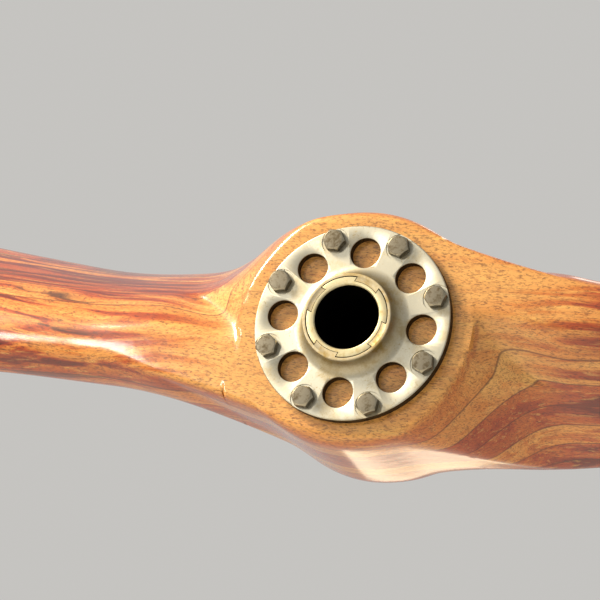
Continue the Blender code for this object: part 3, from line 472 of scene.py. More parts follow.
BOLT_MATRICES = circle_matrices(8, BOLT_CIRCLE, EIGHTH / 2)
HOLE_MATRICES = circle_matrices(8, HOLE_CIRCLE, 0.0)
LUG_TURNS = [turn(-EIGHTH / 2 + FULL_TURN * i / 4) for i in range(4)]
SCREW_MATRICES = circle_matrices(4, BEARING_OUTER + 7.5 * MM, math.pi / 4)


def object_from(bm, name):
    """Closes a bmesh into an object of the scene."""
    mesh = bpy.data.meshes.new(name)
    bm.to_mesh(mesh)
    bm.free()
    obj = bpy.data.objects.new(name, mesh)
    bpy.context.scene.collection.objects.link(obj)
    return obj


def combine(obj, bm, operation):
    """Cuts, joins or intersects obj with the bmesh, and keeps the result as plain mesh."""
    other = object_from(bm, f"{obj.name}_tool")
    boolean = obj.modifiers.new("combine", "BOOLEAN")
    boolean.operation = operation
    boolean.object = other
    boolean.solver = "EXACT"
    evaluated = obj.evaluated_get(bpy.context.evaluated_depsgraph_get())
    mesh = bpy.data.meshes.new_from_object(evaluated)
    obj.modifiers.clear()
    old = obj.data
    obj.data = mesh
    bpy.data.meshes.remove(old)
    bpy.data.objects.remove(other, do_unlink=True)
    if not len(mesh.polygons):
        raise RuntimeError(f"{obj.name} came out empty")


def finish_piece(obj, name, body, nodes, materials, pick=None, sharp=32.0):
    """Stands the piece up, shades it, gives it its materials and ties it to the frame. pick gives
    the number of a face's material from its middle in the hub frame and its outward direction."""
    mesh = obj.data
    obj.name = name
    mesh.name = name
    mesh.materials.clear()
    for material in materials:
        mesh.materials.append(material)
    if pick:
        for face in mesh.polygons:
            face.material_index = pick(face.center, face.normal)
    mesh.transform(HUB_TO_WORLD)
    mesh.shade_smooth()
    mesh.set_sharp_from_angle(angle=math.radians(sharp))
    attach(obj, body)
    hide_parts(*nodes)
    return obj


def turned_piece(name, profile, steps, body, nodes, materials, closed=True, pick=None):
    """A finished piece turned about the hub axis from one profile."""
    bm = bmesh.new()
    lathe(bm, profile, steps, closed)
    return finish_piece(object_from(bm, name), name, body, nodes, materials, pick)


def flat_radius(point):
    """Distance of a point from the hub axis."""
    return math.hypot(point.x, point.y)


# ---------------------------------------------------------------- carved wood
# distances along a blade from the hub axis
OBLONG_END = 35.0 * MM           # the root stays a plain oblong this far out
ROOT_END = 213.5 * MM            # from here outwards the section is a plain aerofoil
LEAD_FAIRING = 258.0 * MM        # the edges reach their own widths here
TRAIL_FAIRING = 330.0 * MM
LEAD_DEPTH = 40.0 * MM           # and their own depths here
TRAIL_DEPTH = 190.0 * MM
EDGES_APART_END = 80.0 * MM      # the two edges become unequal over this distance
FINE_STATIONS_END = 0.330
FINE_STATION = 3.0 * MM
OUTER_STATIONS = 62
TIP_STATIONS = 18
SMALLEST_TIP = 0.02 * MM
# heights of the edges inside the boss, and the pitch axis behind the middle of the stack
HUB_LEAD = 108.0 * MM
HUB_TRAIL = 114.0 * MM
SETBACK = 4.0 * MM
# shape of the sections
THINNING_POWER = 1.25
ANGLE_POWER = 6.0                # how sharply the helix gives way to the root angle
ROOT_FRONT_SHARE = 0.42          # share of the thickness in front of the chord line
OUTER_FRONT_SHARE = 0.85
CREST_SHIFT = 0.46               # how far the thickest place moves towards the leading edge
OBLONG_POWER = 8.0
BOSS_SQUARE = 14.0
JOIN_POWER = 24.0
# the front of the root is raised to meet the boss's face, and planed level with it
FRONT_RAISE = 0.22
FRONT_RAISED_TO = 120.0 * MM
FRONT_RAISE_END = 300.0 * MM
FLAT_POWER = 36.0


def ease(share):
    """Smooth step from 0 to 1."""
    share = np.clip(share, 0.0, 1.0)
    return share * share * (3.0 - 2.0 * share)


def raised_front(r, z):
    """Near the boss the front is fuller, and its crown is planed off level with the boss's face."""
    fading = ease((r - FRONT_RAISED_TO) / (FRONT_RAISE_END - FRONT_RAISED_TO))
    raise_here = FRONT_RAISE * (1.0 - fading)
    raised = np.where(z > 0, z * (1.0 + raise_here), z)
    height = np.maximum(np.abs(raised), 1e-6)
    level = (height**-FLAT_POWER + HALF_STACK**-FLAT_POWER) ** (-1.0 / FLAT_POWER)
    return np.where(z > 0, level, z)


def blade_sections(wood, stations, turns):
    """(y, z) arrays of the blank's sections, one row per station, for the right-hand blade."""
    r = stations[:, None]
    tip_start = BLADE_TIP - wood.tip_round
    into_tip = np.clip((r - tip_start) / wood.tip_round, 0.0, 1.0)
    rounding = np.sqrt(1.0 - into_tip**2)
    widening = ease((r - ROOT_END) / (wood.widest_at - ROOT_END))
    narrowing = ease((r - wood.widest_at) / (BLADE_TIP - wood.tip_round / 2 - wood.widest_at))
    chord = wood.root_chord + (wood.max_chord - wood.root_chord) * widening
    chord = (chord + (wood.tip_chord - wood.max_chord) * narrowing) * rounding
    left = 1.0 - np.clip((r - ROOT_END) / (BLADE_TIP - ROOT_END), 0.0, 1.0)
    thickness = wood.tip_thickness + (wood.root_thickness - wood.tip_thickness) * left**THINNING_POWER
    thickness = thickness * np.sqrt(rounding)
    helix = np.arctan2(wood.pitch, FULL_TURN * np.maximum(r, ROOT_END))
    angle = (helix**-ANGLE_POWER + wood.root_angle**-ANGLE_POWER) ** (-1.0 / ANGLE_POWER)

    height = chord / 2 * np.cos(angle)
    rise = chord / 2 * np.sin(angle)
    middle = (HUB_LEAD + HUB_TRAIL) / 2
    apart = (HUB_TRAIL - HUB_LEAD) / 2 * ease(r / EDGES_APART_END)
    lead_hub = middle - apart
    trail_hub = middle + apart
    lead_y = lead_hub + (height - lead_hub) * ease(r / LEAD_FAIRING)
    trail_y = -(trail_hub + (height - trail_hub) * ease(r / TRAIL_FAIRING))
    lead_z = (rise - SETBACK) * ease(r / LEAD_DEPTH)
    trail_z = -(rise + SETBACK) * ease(r / TRAIL_DEPTH)
    chord_y = trail_y - lead_y
    chord_z = trail_z - lead_z
    length = np.hypot(chord_y, chord_z)

    sine = np.sin(turns)[None]
    cosine = np.cos(turns)[None]
    outward = ease((r - wood.boss_radius) / (wood.widest_at - wood.boss_radius))
    front_share = ROOT_FRONT_SHARE + (OUTER_FRONT_SHARE - ROOT_FRONT_SHARE) * outward
    front = thickness * front_share * (1.0 + CREST_SHIFT * cosine)
    rear = thickness * (1.0 - front_share) * (1.0 + CREST_SHIFT * cosine)
    lift = np.where(sine > 0, front, rear) * sine
    aero_y = lead_y + chord_y * (1.0 - cosine) / 2 + chord_z / length * lift
    aero_z = lead_z + chord_z * (1.0 - cosine) / 2 - chord_y / length * lift

    across = np.sign(cosine) * np.abs(cosine) ** (2.0 / OBLONG_POWER)
    up = np.sign(sine) * np.abs(sine) ** (2.0 / OBLONG_POWER)
    root_y = np.where(across > 0, lead_y, -trail_y) * across
    root_z = HALF_STACK * up
    grown = ease((r - OBLONG_END) / (ROOT_END - OBLONG_END))
    y = root_y + (aero_y - root_y) * grown
    z = root_z + (aero_z - root_z) * grown
    z = raised_front(r, z)

    # the round boss joins smoothly: a rounded oblong of the disc's width at this station
    reach = np.hypot(y, z)
    half_width = np.sqrt(np.clip(wood.boss_radius**2 - r**2, 1e-9, None))
    disc = (np.abs(y / reach / half_width) ** BOSS_SQUARE
            + np.abs(z / reach / HALF_STACK) ** BOSS_SQUARE) ** (-1.0 / BOSS_SQUARE)
    joined = (reach**JOIN_POWER + disc**JOIN_POWER) ** (1.0 / JOIN_POWER)
    joined = np.where(r < wood.boss_radius, joined, reach)
    y = y / reach * joined
    z = np.clip(z / reach * joined, -HALF_STACK, HALF_STACK)
    return y, z


def even_rings(y, z, count):
    """Each section's points spread evenly along its outline, starting at the leading edge."""
    rings = []
    for row_y, row_z in zip(y, z):
        step = np.hypot(np.diff(row_y, append=row_y[0]), np.diff(row_z, append=row_z[0]))
        along = np.concatenate([[0.0], np.cumsum(step)])
        wanted = np.linspace(0.0, along[-1], count, endpoint=False)
        ring_y = np.interp(wanted, along, np.append(row_y, row_y[0]))
        ring_z = np.interp(wanted, along, np.append(row_z, row_z[0]))
        rings.append(np.column_stack([ring_y, ring_z]))
    return rings


def carved_blank(wood):
    """The whole carved blank, tip to tip, before any hole is bored."""
    near = np.arange(0.0, FINE_STATIONS_END, FINE_STATION)
    far = np.linspace(FINE_STATIONS_END, BLADE_TIP - wood.tip_round, OUTER_STATIONS, endpoint=False)
    quarter = np.linspace(0.0, math.pi / 2, TIP_STATIONS)[:-1]
    tip = BLADE_TIP - wood.tip_round * (1.0 - np.sin(quarter))
    tip = np.append(tip, BLADE_TIP - SMALLEST_TIP)
    stations = np.concatenate([near, far, tip])
    turns = np.linspace(0.0, FULL_TURN, 720, endpoint=False)
    right = even_rings(*blade_sections(wood, stations, turns), wood.outline_points)
    flipped = blade_sections(wood, stations, math.pi - turns)
    left = even_rings(-flipped[0], flipped[1], wood.outline_points)
    rings = [(-r, ring) for r, ring in zip(stations[:0:-1], left[:0:-1])]
    rings += list(zip(stations, right))
    bm = bmesh.new()
    rows = [[bm.verts.new((x, y, z)) for y, z in ring] for x, ring in rings]
    for row, following in zip(rows, rows[1:]):
        for k in range(len(row)):
            j = (k + 1) % len(row)
            bm.faces.new((row[k], row[j], following[j], following[k]))
    bm.faces.new(list(reversed(rows[0])))
    bm.faces.new(rows[-1])
    bmesh.ops.recalc_face_normals(bm, faces=bm.faces)
    return bm


def store_painted_front_light(mesh):
    """Stores how squarely each point of the surface looks along the hub axis, front or rear. The wood's
    colour uses it as painted light: such faces are painted golden, the flanks redder and darker.
    """
    normals = np.zeros(len(mesh.vertices) * 3, np.float32)
    mesh.vertices.foreach_get("normal", normals)
    front_light_share = ease((np.abs(normals.reshape(-1, 3)[:, 2]) - 0.35) / 0.60)
    attribute = mesh.attributes.new("faces_front", "FLOAT", "POINT")
    attribute.data.foreach_set("value", front_light_share.astype(np.float32))


def make_carved_wood():
    """The seven boards as one carved blank, bored for the sleeve and the bolts."""
    wood = bpy.context.scene.propeller_wood
    obj = object_from(carved_blank(wood), "carved_wood")
    holes = bmesh.new()
    over = HALF_STACK + 4 * MM
    bore = SLEEVE_RADIUS + BORE_GAP
    lathe(holes, [(0.0, over), (bore, over), (bore, -over), (0.0, -over)], 96, closed=False)
    for place in BOLT_MATRICES:
        radius = BOLT_RADIUS + BORE_GAP
        lathe(holes, [(0.0, over), (radius, over), (radius, -over), (0.0, -over)], 32, False, place)
    combine(obj, holes, "DIFFERENCE")
    # the painted light that the wood's colour reads
    store_painted_front_light(obj.data)
    finish_piece(obj, "carved_wood", "propeller", BOARDS,
                 [varnished_mahogany(wood)], sharp=50.0)


# ---------------------------------------------------------------- hub
def lug_outline(inner, outer, half_width):
    """Flat outline of one lug: two arcs joined by parallel sides."""
    outline = []
    for radius, order in ((outer, 1), (inner, -1)):
        limit = math.asin(half_width / radius)
        for k in range(13):
            a = order * limit * (k / 6 - 1.0)
            outline.append((radius * math.cos(a), radius * math.sin(a)))
    return outline


def make_front_plate():
    """The front plate: filleted nose with four lugs, eight holes and eight spot-faced bolt seats."""
    bore = SLEEVE_RADIUS + BORE_GAP
    profile = rounded([
        (bore, NOSE_FACE, 0.4 * MM),
        (NOSE_RADIUS, NOSE_FACE, 1.1 * MM),
        (NOSE_RADIUS, PLATE_FACE, NOSE_FILLET),
        (PLATE_RADIUS, PLATE_FACE, 1.2 * MM),
        (PLATE_RADIUS, PLATE_BACK, 0.5 * MM),
        (bore, PLATE_BACK, 0.3 * MM),
    ], steps=8)
    bm = bmesh.new()
    lathe(bm, profile, 192)
    plate = object_from(bm, "front_plate")

    # the lugs stand a little clear of the sleeve, so their seams read as dark lines
    lugs = bmesh.new()
    for spin in LUG_TURNS:
        prism(lugs, lug_outline(LUG_INNER + 0.5 * MM, bore + 1.5 * MM, LUG_HALF_WIDTH - 0.1 * MM),
              NOSE_FACE - LUG_HEIGHT, NOSE_FACE - 0.05 * MM, spin)
    combine(plate, lugs, "UNION")

    cut = bmesh.new()
    over = PLATE_FACE + 2.5 * MM
    below = PLATE_BACK - 2.0 * MM
    edge = 0.7 * MM
    for place in HOLE_MATRICES:
        lathe(cut, [
            (0.0, over),
            (HOLE_RADIUS + edge, over),
            (HOLE_RADIUS + edge, PLATE_FACE),
            (HOLE_RADIUS + 0.2 * MM, PLATE_FACE - 0.25 * MM),
            (HOLE_RADIUS, PLATE_FACE - edge),
            (HOLE_RADIUS, PLATE_BACK + 0.4 * MM),
            (HOLE_RADIUS + 0.4 * MM, PLATE_BACK),
            (HOLE_RADIUS + 0.4 * MM, below),
            (0.0, below),
        ], 64, False, place)
    seat = PLATE_FACE - SPOTFACE_DEPTH
    radius = BOLT_RADIUS + BORE_GAP
    for place in BOLT_MATRICES:
        lathe(cut, [
            (0.0, over),
            (SPOTFACE_RADIUS, over),
            (SPOTFACE_RADIUS, seat + 0.2 * MM),
            (SPOTFACE_RADIUS - 0.2 * MM, seat),
            (radius, seat),
            (radius, below),
            (0.0, below),
        ], 48, False, place)
    combine(plate, cut, "DIFFERENCE")

    def pick(middle, direction):
        out = flat_radius(middle)
        # the side wall and the walls of the holes take the dark edge metal as painted shade; hidden faces
        # take it too
        if out > PLATE_RADIUS - 0.2 * MM and abs(direction.z) < 0.3:
            return 1
        hidden = middle.z < PLATE_BACK + 0.1 * MM or abs(out - bore) < 0.2 * MM
        deep = PLATE_BACK < middle.z < PLATE_FACE - edge * 0.6
        hole_wall = abs(direction.z) < 0.1 and deep and out > NOSE_RADIUS
        return 1 if hidden or hole_wall else 0

    finish_piece(plate, "front_plate", "propeller", ["front_flange"],
                 [metal("dull_nickel_plate"), metal("painted_shade_plate_edge")], pick, sharp=28.0)


def make_hub_sleeve():
    """The sleeve through the wood, with the rear flange, a lip for the bearings and four slots."""
    lip_back = REAR_FLANGE_BACK + 65.3 * MM
    lip_front = lip_back + 6.0 * MM
    outer = SLEEVE_RADIUS - 0.35 * MM
    profile = rounded([
        (outer, NOSE_FACE, 0.5 * MM),
        (outer, REAR_FLANGE_FRONT, 0.3 * MM),
        (REAR_FLANGE_RADIUS, REAR_FLANGE_FRONT, 0.5 * MM),
        (REAR_FLANGE_RADIUS, REAR_FLANGE_BACK, 1.2 * MM),
        (BEARING_OUTER, REAR_FLANGE_BACK, 0.6 * MM),
        (BEARING_OUTER, lip_back, 0.0),
        (BEARING_OUTER - 3.0 * MM, lip_back, 0.3 * MM),
        (BEARING_OUTER - 3.0 * MM, lip_front, 0.5 * MM),
        (SLEEVE_BORE, lip_front, 0.4 * MM),
        (SLEEVE_BORE, NOSE_FACE, 1.6 * MM),
    ])
    bm = bmesh.new()
    lathe(bm, profile, 160)
    sleeve = object_from(bm, "hub_sleeve_piece")
    cut = bmesh.new()
    for spin in LUG_TURNS:
        prism(cut, lug_outline(LUG_INNER, SLEEVE_RADIUS + 4 * MM, LUG_HALF_WIDTH + 0.6 * MM),
              NOSE_FACE - LUG_HEIGHT - 0.5 * MM, NOSE_FACE + 2 * MM, spin)
    radius = BOLT_RADIUS + BORE_GAP
    for place in BOLT_MATRICES:
        lathe(cut, [
            (0.0, REAR_FLANGE_FRONT + 2 * MM),
            (radius, REAR_FLANGE_FRONT + 2 * MM),
            (radius, REAR_FLANGE_BACK - 2 * MM),
            (0.0, REAR_FLANGE_BACK - 2 * MM),
        ], 32, False, place)
    for place in SCREW_MATRICES:
        lathe(cut, [
            (0.0, REAR_FLANGE_BACK + 10.3 * MM),
            (2.8 * MM, REAR_FLANGE_BACK + 10.3 * MM),
            (2.8 * MM, REAR_FLANGE_BACK - 2 * MM),
            (0.0, REAR_FLANGE_BACK - 2 * MM),
        ], 24, False, place)
    combine(sleeve, cut, "DIFFERENCE")

    def pick(middle, direction):
        inside = flat_radius(middle) < SLEEVE_BORE + 0.05 * MM and middle.z < NOSE_FACE - 3.0 * MM
        slot_floor = middle.z < NOSE_FACE - 2.0 * MM and middle.z > 0.0
        if inside or slot_floor:
            return 1
        # the rear flange's rim takes the dark edge metal as painted shade
        return 2 if middle.z < 0.0 and flat_radius(middle) > REAR_FLANGE_RADIUS - 0.3 * MM else 0

    finish_piece(sleeve, "hub_sleeve_piece", "propeller", ["hub_sleeve"],
                 [metal("rubbed_nickel_sleeve"), metal("greased_bore"), metal("painted_shade_plate_edge")], pick)


# ---------------------------------------------------------------- fasteners
HEAD_SEAT = PLATE_FACE - 0.5 * MM
HEAD_TOP = HEAD_SEAT + 8.0 * MM
WASHER_FRONT = REAR_FLANGE_BACK - 0.3 * MM
WASHER_BACK = WASHER_FRONT - 2.5 * MM
NUT_FRONT = WASHER_BACK - 0.3 * MM
NUT_BACK = NUT_FRONT - 13.0 * MM
PIN_LEVEL = NUT_BACK + 2.25 * MM
PIN_HOLE = 1.6 * MM
PIN_WIRE = 1.15 * MM
PIN_EYE = 3.0 * MM
WASHER_RADIUS = 13.0 * MM
SLOT_HALF_WIDTH = 1.8 * MM
SLOT_DEPTH = 4.5 * MM
THREAD_LENGTH = 22.0 * MM
HEX_CORNER = HEX_FLATS / 2 / math.cos(math.pi / 6)
HEXAGON_ANGLES = [k * math.pi / 3 + math.pi / 6 for k in range(6)]
HEXAGON = [(HEX_CORNER * math.cos(a), HEX_CORNER * math.sin(a)) for a in HEXAGON_ANGLES]


def bolt_profile(end):
    """Outline of a shank whose rear end is threaded."""
    thread_pitch = 1.27 * MM
    depth = 0.55 * MM
    profile = [(0.0, HEAD_SEAT + 3 * MM), (BOLT_RADIUS, HEAD_SEAT + 3 * MM)]
    z = end + THREAD_LENGTH
    while z > end + 1.5 * MM:
        profile += [(BOLT_RADIUS, z), (BOLT_RADIUS - depth, z - thread_pitch / 2)]
        z -= thread_pitch
    profile += [(BOLT_RADIUS - depth, end + 0.9 * MM), (BOLT_RADIUS - 1.1 * MM, end), (0.0, end)]
    return profile


def make_bolts():
    """The through bolts, each turned by chance as its spanner left it."""
    rng = random.Random(7)
    end = back_of("hub_bolt_1")
    for i, place in enumerate(BOLT_MATRICES, start=1):
        spin = turn(rng.uniform(0.0, math.pi / 3))
        bm = bmesh.new()
        prism(bm, HEXAGON, HEAD_SEAT, HEAD_TOP, spin)
        bolt = object_from(bm, f"bolt_{i}")
        crown = bmesh.new()
        flats = HEX_FLATS / 2
        lathe(crown, rounded([
            (0.0, HEAD_TOP, 0.0),
            (flats - 0.9 * MM, HEAD_TOP, 0.25 * MM),
            (flats + 0.4 * MM, HEAD_TOP - 1.0 * MM, 0.4 * MM),
            (flats + 2.2 * MM, HEAD_TOP - 2.8 * MM, 0.0),
            (flats + 2.2 * MM, HEAD_SEAT, 0.0),
            (0.0, HEAD_SEAT, 0.0),
        ], closed=False), 72, False)
        combine(bolt, crown, "INTERSECT")
        shank = bmesh.new()
        lathe(shank, bolt_profile(end), 32, False)
        combine(bolt, shank, "UNION")
        drill = bmesh.new()
        across = Matrix.Translation((0, 0, PIN_LEVEL)) @ Matrix.Rotation(math.pi / 2, 4, "Y")
        reach = 9 * MM
        lathe(drill, [(0, reach), (PIN_HOLE, reach), (PIN_HOLE, -reach), (0, -reach)], 16, False, across)
        combine(bolt, drill, "DIFFERENCE")
        # the sloping faces of the head are its chamfer, given the brighter steel: partly rubbed wear,
        # partly a painted highlight
        numbers = [
            int(0.25 < face.normal.z < 0.97 and face.center.z > HEAD_TOP - 3.0 * MM)
            for face in bolt.data.polygons
        ]
        bolt.data.transform(place)
        finish_piece(bolt, f"bolt_{i}", "propeller", [f"hub_bolt_{i}"],
                     [metal("oiled_bolt_steel"), metal("rubbed_and_highlight_bolt_steel")], sharp=25.0)
        bolt.data.polygons.foreach_set("material_index", numbers)


def make_washers():
    """Round washers between the rear flange and the nuts."""
    profile = rounded([
        (BOLT_RADIUS + BORE_GAP, WASHER_FRONT, 0.2 * MM),
        (WASHER_RADIUS, WASHER_FRONT, 0.5 * MM),
        (WASHER_RADIUS, WASHER_BACK, 0.7 * MM),
        (BOLT_RADIUS + BORE_GAP, WASHER_BACK, 0.2 * MM),
    ])
    for i, place in enumerate(BOLT_MATRICES, start=1):
        bm = bmesh.new()
        lathe(bm, profile, 56, True, place)
        finish_piece(object_from(bm, f"washer_{i}"), f"washer_{i}", "propeller",
                     [f"bolt_washer_{i}"], [metal("rubbed_and_highlight_bolt_steel")])


def make_castle_nuts():
    """Hexagon nuts with six slots for the split pins."""
    flats = HEX_FLATS / 2
    for i, place in enumerate(BOLT_MATRICES, start=1):
        bm = bmesh.new()
        prism(bm, HEXAGON, NUT_BACK, NUT_FRONT)
        nut = object_from(bm, f"nut_{i}")
        crown = bmesh.new()
        lathe(crown, [
            (0.0, NUT_FRONT),
            (flats - 0.2 * MM, NUT_FRONT),
            (flats + 1.8 * MM, NUT_FRONT - 1.2 * MM),
            (flats + 1.8 * MM, NUT_BACK + 1.4 * MM),
            (flats - 0.5 * MM, NUT_BACK),
            (0.0, NUT_BACK),
        ], 64, False)
        combine(nut, crown, "INTERSECT")
        cut = bmesh.new()
        bore = BOLT_RADIUS + BORE_GAP
        lathe(cut, [
            (0.0, NUT_FRONT + MM),
            (bore, NUT_FRONT + MM),
            (bore, NUT_BACK - MM),
            (0.0, NUT_BACK - MM),
        ], 40, False)
        combine(nut, cut, "DIFFERENCE")
        slots = bmesh.new()
        for k in range(6):
            half = SLOT_HALF_WIDTH
            outline = [(3 * MM, -half), (13 * MM, -half), (13 * MM, half), (3 * MM, half)]
            prism(slots, outline, NUT_BACK - MM, NUT_BACK + SLOT_DEPTH, turn(k * math.pi / 3))
        combine(nut, slots, "DIFFERENCE")
        nut.data.transform(place)
        finish_piece(nut, f"nut_{i}", "propeller", [f"castle_nut_{i}"],
                     [metal("oiled_bolt_steel")], sharp=25.0)


def split_pin_path():
    """Round the eye, through the nut and the bolt, and up the nut's side where the end is bent."""
    clear = HEX_FLATS / 2 + 1.9 * MM
    path = []
    for degrees in range(20, 341, 20):
        a = math.radians(degrees)
        path.append((-clear - PIN_EYE + PIN_EYE * math.cos(a), PIN_EYE * math.sin(a), PIN_LEVEL))
    path += [(-clear + 0.6 * MM, 0, PIN_LEVEL), (0, 0, PIN_LEVEL), (clear - 3.0 * MM, 0, PIN_LEVEL)]
    for inwards, up in ((1.6, 0.2), (0.3, 1.6), (0.0, 3.2), (0.1, 5.2)):
        path.append((clear - inwards * MM, 0, PIN_LEVEL + up * MM))
    return path


def make_split_pins():
    """Bent wires that lock the castle nuts."""
    path = split_pin_path()
    for i, place in enumerate(BOLT_MATRICES, start=1):
        curve = bpy.data.curves.new(f"pin_{i}", "CURVE")
        curve.dimensions = "3D"
        curve.bevel_depth = PIN_WIRE
        curve.bevel_resolution = 4
        curve.use_fill_caps = True
        spline = curve.splines.new("NURBS")
        spline.points.add(len(path) - 1)
        for point, spot in zip(spline.points, path):
            point.co = (*spot, 1.0)
        spline.use_endpoint_u = True
        spline.order_u = 3
        spline.resolution_u = 3
        curve.transform(HUB_TO_WORLD @ place)
        curve.materials.append(metal("oiled_bolt_steel"))
        pin = bpy.data.objects.new(f"pin_{i}", curve)
        bpy.context.scene.collection.objects.link(pin)
        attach(pin, "propeller")
        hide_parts(f"split_pin_{i}")


# ---------------------------------------------------------------- bearings and shaft
SHOULDER_OFFSET = 1.6 * MM       # the rings' shoulders, outside and inside the circle of the balls
OUTER_SHOULDER = BALL_CIRCLE + SHOULDER_OFFSET
INNER_SHOULDER = BALL_CIRCLE - SHOULDER_OFFSET
SCREW_RADIUS = 2.5 * MM
SCREW_HOLE = 2.8 * MM
RETAINER_BORE = 26.95 * MM
SHAFT_SHOULDER = 23.95 * MM
HELD_END_RADIUS = 22.0 * MM
LOCKNUT_RADIUS = 24.95 * MM
LOCKNUT_SLOT = 2.9 * MM          # its depth and half its width


def make_retainer():
    """The ring that holds the outer races in the sleeve, and its four slotted screws."""
    front = front_of("bearing_retainer")
    back = back_of("bearing_retainer")
    outer = radius_of("bearing_retainer")
    bore = RETAINER_BORE
    bm = bmesh.new()
    lathe(bm, rounded([
        (bore, front, 0.3 * MM),
        (outer, front, 0.3 * MM),
        (outer, back, 0.9 * MM),
        (bore, back, 0.6 * MM),
    ]), 112)
    ring = object_from(bm, "retainer_ring")
    cut = bmesh.new()
    for place in SCREW_MATRICES:
        lathe(cut, [(0, front + MM), (SCREW_HOLE, front + MM), (SCREW_HOLE, back - MM), (0, back - MM)],
              24, False, place)
    combine(ring, cut, "DIFFERENCE")
    finish_piece(ring, "retainer_ring", "propeller", ["bearing_retainer"],
                 [metal("turned_shaft_steel")])
    seat = back - 0.3 * MM
    for i, place in enumerate(SCREW_MATRICES, start=1):
        bm = bmesh.new()
        lathe(bm, rounded([
            (0.0, front + 10.0 * MM, 0.0),
            (SCREW_RADIUS, front + 10.0 * MM, 0.4 * MM),
            (SCREW_RADIUS, seat, 0.0),
            (4.5 * MM, seat, 0.2 * MM),
            (4.5 * MM, seat - 3.0 * MM, 1.1 * MM),
            (0.0, seat - 3.0 * MM, 0.0),
        ], closed=False), 40, False)
        screw = object_from(bm, f"screw_{i}")
        slot_cut = bmesh.new()
        half = 0.6 * MM
        prism(slot_cut, [(-6 * MM, -half), (6 * MM, -half), (6 * MM, half), (-6 * MM, half)],
              seat - 4.0 * MM, seat - 1.6 * MM, turn(0.7 * i))
        combine(screw, slot_cut, "DIFFERENCE")
        screw.data.transform(place)
        finish_piece(screw, f"screw_{i}", "propeller", [f"retainer_screw_{i}"],
                     [metal("rubbed_and_highlight_bolt_steel")])


def groove(side, front, back):
    """Arc of a ball groove; side is 1 on the outer ring and -1 on the inner."""
    radius = BALL_RADIUS + 0.4 * MM
    reach = math.acos(SHOULDER_OFFSET / radius)
    middle = (front + back) / 2
    return [
        (BALL_CIRCLE + side * radius * math.cos(a), middle + radius * math.sin(a))
        for a in np.linspace(reach, -reach, 13)
    ]


def make_bearings():
    """Both ball bearings: grooved rings, and the balls in their brass cage."""
    steel = [metal("ground_bearing_steel")]
    for where in ("front", "rear"):
        outer_node = f"outer_ring_{where}"
        inner_node = f"inner_ring_{where}"
        front = front_of(outer_node)
        back = back_of(outer_node)
        outer = BEARING_OUTER - BORE_GAP
        shoulder = OUTER_SHOULDER
        chamfer = 0.8 * MM
        profile = [(outer - chamfer, front), (outer, front - chamfer), (outer, back + chamfer),
                   (outer - chamfer, back), (shoulder, back)]
        profile += list(reversed(groove(1.0, front, back))) + [(shoulder, front)]
        turned_piece(
            f"outer_race_{where}", profile, 96, "propeller", [outer_node], steel)
        inner = BEARING_BORE + BORE_GAP
        shoulder = INNER_SHOULDER
        profile = [(shoulder, front)] + groove(-1.0, front, back) + [(shoulder, back)]
        profile += [(inner + chamfer, back), (inner, back + chamfer), (inner, front - chamfer),
                    (inner + chamfer, front)]
        turned_piece(
            f"inner_race_{where}", profile, 96, "shaft", [inner_node], steel)

        middle = (front + back) / 2
        bm = bmesh.new()
        lathe(bm, rounded([
            (BALL_CIRCLE + 0.6 * MM, middle + 3 * MM, 0.2 * MM),
            (BALL_CIRCLE + 0.6 * MM, middle - 3 * MM, 0.2 * MM),
            (BALL_CIRCLE - 0.6 * MM, middle - 3 * MM, 0.2 * MM),
            (BALL_CIRCLE - 0.6 * MM, middle + 3 * MM, 0.2 * MM),
        ]), 96)
        cage = object_from(bm, f"balls_in_cage_{where}")
        balls = bmesh.new()
        ball_places = circle_matrices(BALL_COUNT, BALL_CIRCLE, 0.0)
        for place in ball_places:
            bmesh.ops.create_icosphere(
                balls, subdivisions=3, radius=BALL_RADIUS,
                matrix=place @ Matrix.Translation((0, 0, middle)))
        combine(cage, balls, "UNION")
        centres = [place @ Vector((0, 0, middle)) for place in ball_places]

        def pick(point, direction):
            nearest = min((point - centre).length for centre in centres)
            on_ball = BALL_RADIUS - 0.25 * MM <= nearest <= BALL_RADIUS + 0.02 * MM
            return 0 if on_ball else 1

        finish_piece(cage, f"balls_in_cage_{where}", "ball_cages", [f"ball_cage_{where}"],
                     [metal("ground_bearing_steel"), metal("aged_cage_brass")], pick, sharp=30.0)


def make_spacers():
    """The two tubes that keep the bearings apart."""
    for name, node, inner, outer, body in (
        ("outer_sleeve_spacer", "outer_spacer", OUTER_SHOULDER, BEARING_OUTER - BORE_GAP, "propeller"),
        ("inner_sleeve_spacer", "inner_spacer", BEARING_BORE + BORE_GAP, INNER_SHOULDER, "shaft"),
    ):
        front = front_of(node)
        back = back_of(node)
        profile = rounded([
            (inner, front, 0.3 * MM),
            (outer, front, 0.5 * MM),
            (outer, back, 0.5 * MM),
            (inner, back, 0.3 * MM),
        ])
        turned_piece(name, profile, 96, body, [node], [metal("turned_shaft_steel")])


